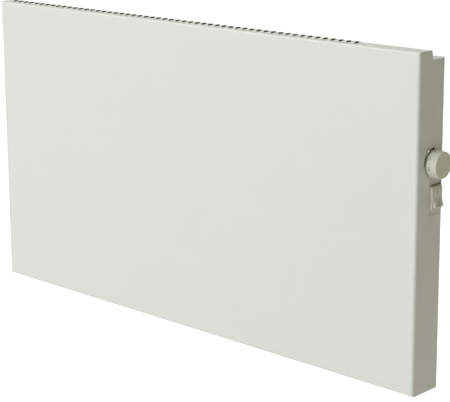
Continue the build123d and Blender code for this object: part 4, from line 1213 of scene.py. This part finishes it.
def layOn(work, point, normal):
    # XY plane of a flat mark onto the surface, its Y upwards
    across = Vector((0.0, 1.0, 0.0))
    up = normal.cross(across).normalized()
    if up.z < 0:
        up = -up
    across = up.cross(normal).normalized()
    turn = Matrix((across, up, normal)).transposed().to_4x4()
    bmesh.ops.transform(work, matrix=Matrix.Translation(point) @ turn, verts=work.verts)


def flatShape(corners):
    work = bmesh.new()
    work.faces.new([work.verts.new((x, y, 0.0)) for x, y in corners])
    return work


def flatBar(width, height):
    x, y = width / 2, height / 2
    return flatShape([(-x, -y), (x, -y), (x, y), (-x, y)])


def flatRing(radius, width, sides):
    work = bmesh.new()
    inner = []
    outer = []
    for n in range(sides):
        turn = 2 * math.pi * n / sides
        direction = Vector((math.cos(turn), math.sin(turn), 0.0))
        inner.append(work.verts.new(direction * (radius - width / 2)))
        outer.append(work.verts.new(direction * (radius + width / 2)))
    for n in range(sides):
        after = (n + 1) % sides
        work.faces.new((inner[n], outer[n], outer[after], inner[after]))
    return work


def makeRockerMarks():
    low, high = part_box("switch_rocker")
    middleY = (low.y + high.y) / 2
    middleZ = joints["switch_rock"]["pos_m"][2]
    total = bmesh.new()
    bar = flatBar(rockerMarks["barWidth"], rockerMarks["barHeight"])
    ring = flatRing(rockerMarks["ringRadius"], rockerMarks["ringWidth"], rockerMarks["ringSides"])
    for work, rise in ((bar, rockerMarks["barRise"]), (ring, -rockerMarks["ringDrop"])):
        thicken(work, markInk["proud"], markInk["sink"])
        point, normal = surfaceAt("switch_rocker", middleY, middleZ + rise)
        layOn(work, point, normal)
        joinTo(total, work)
    mesh = meshFrom(total, "rockerMarks")
    pieceFrom(mesh, "rockerMarks", "switch_rocker", inkMaterial)


makeRockerMarks()
print("rocker marked")


indexMark = {
    "angle": 1.4,               # degrees from the front towards the top
    "radius": 0.0163,           # dial's axis to the mark's middle
    "width": 0.0017,
    "height": 0.0019,
    "shoulder": 0.4,            # where the point begins, as a share of half the width
}


def makeIndexMark():
    # a wedge on the casing's end, its point towards the dial
    axis = joints["thermostat_turn"]["pos_m"]
    angle = math.radians(indexMark["angle"])
    y = axis[1] - indexMark["radius"] * math.cos(angle)
    z = axis[2] + indexMark["radius"] * math.sin(angle)
    point, normal = surfaceAt("front_casing", y, z)
    halfWidth = indexMark["width"] / 2
    halfHeight = indexMark["height"] / 2
    shoulder = halfWidth * indexMark["shoulder"]
    work = flatShape([
        (-halfWidth, -halfHeight), (shoulder, -halfHeight), (halfWidth, 0.0),
        (shoulder, halfHeight), (-halfWidth, halfHeight),
    ])
    thicken(work, markInk["proud"], markInk["sink"])
    layOn(work, point, normal)
    mesh = meshFrom(work, "indexMark")
    pieceFrom(mesh, "indexMark", "heater", inkMaterial)


makeIndexMark()
print("index mark placed")
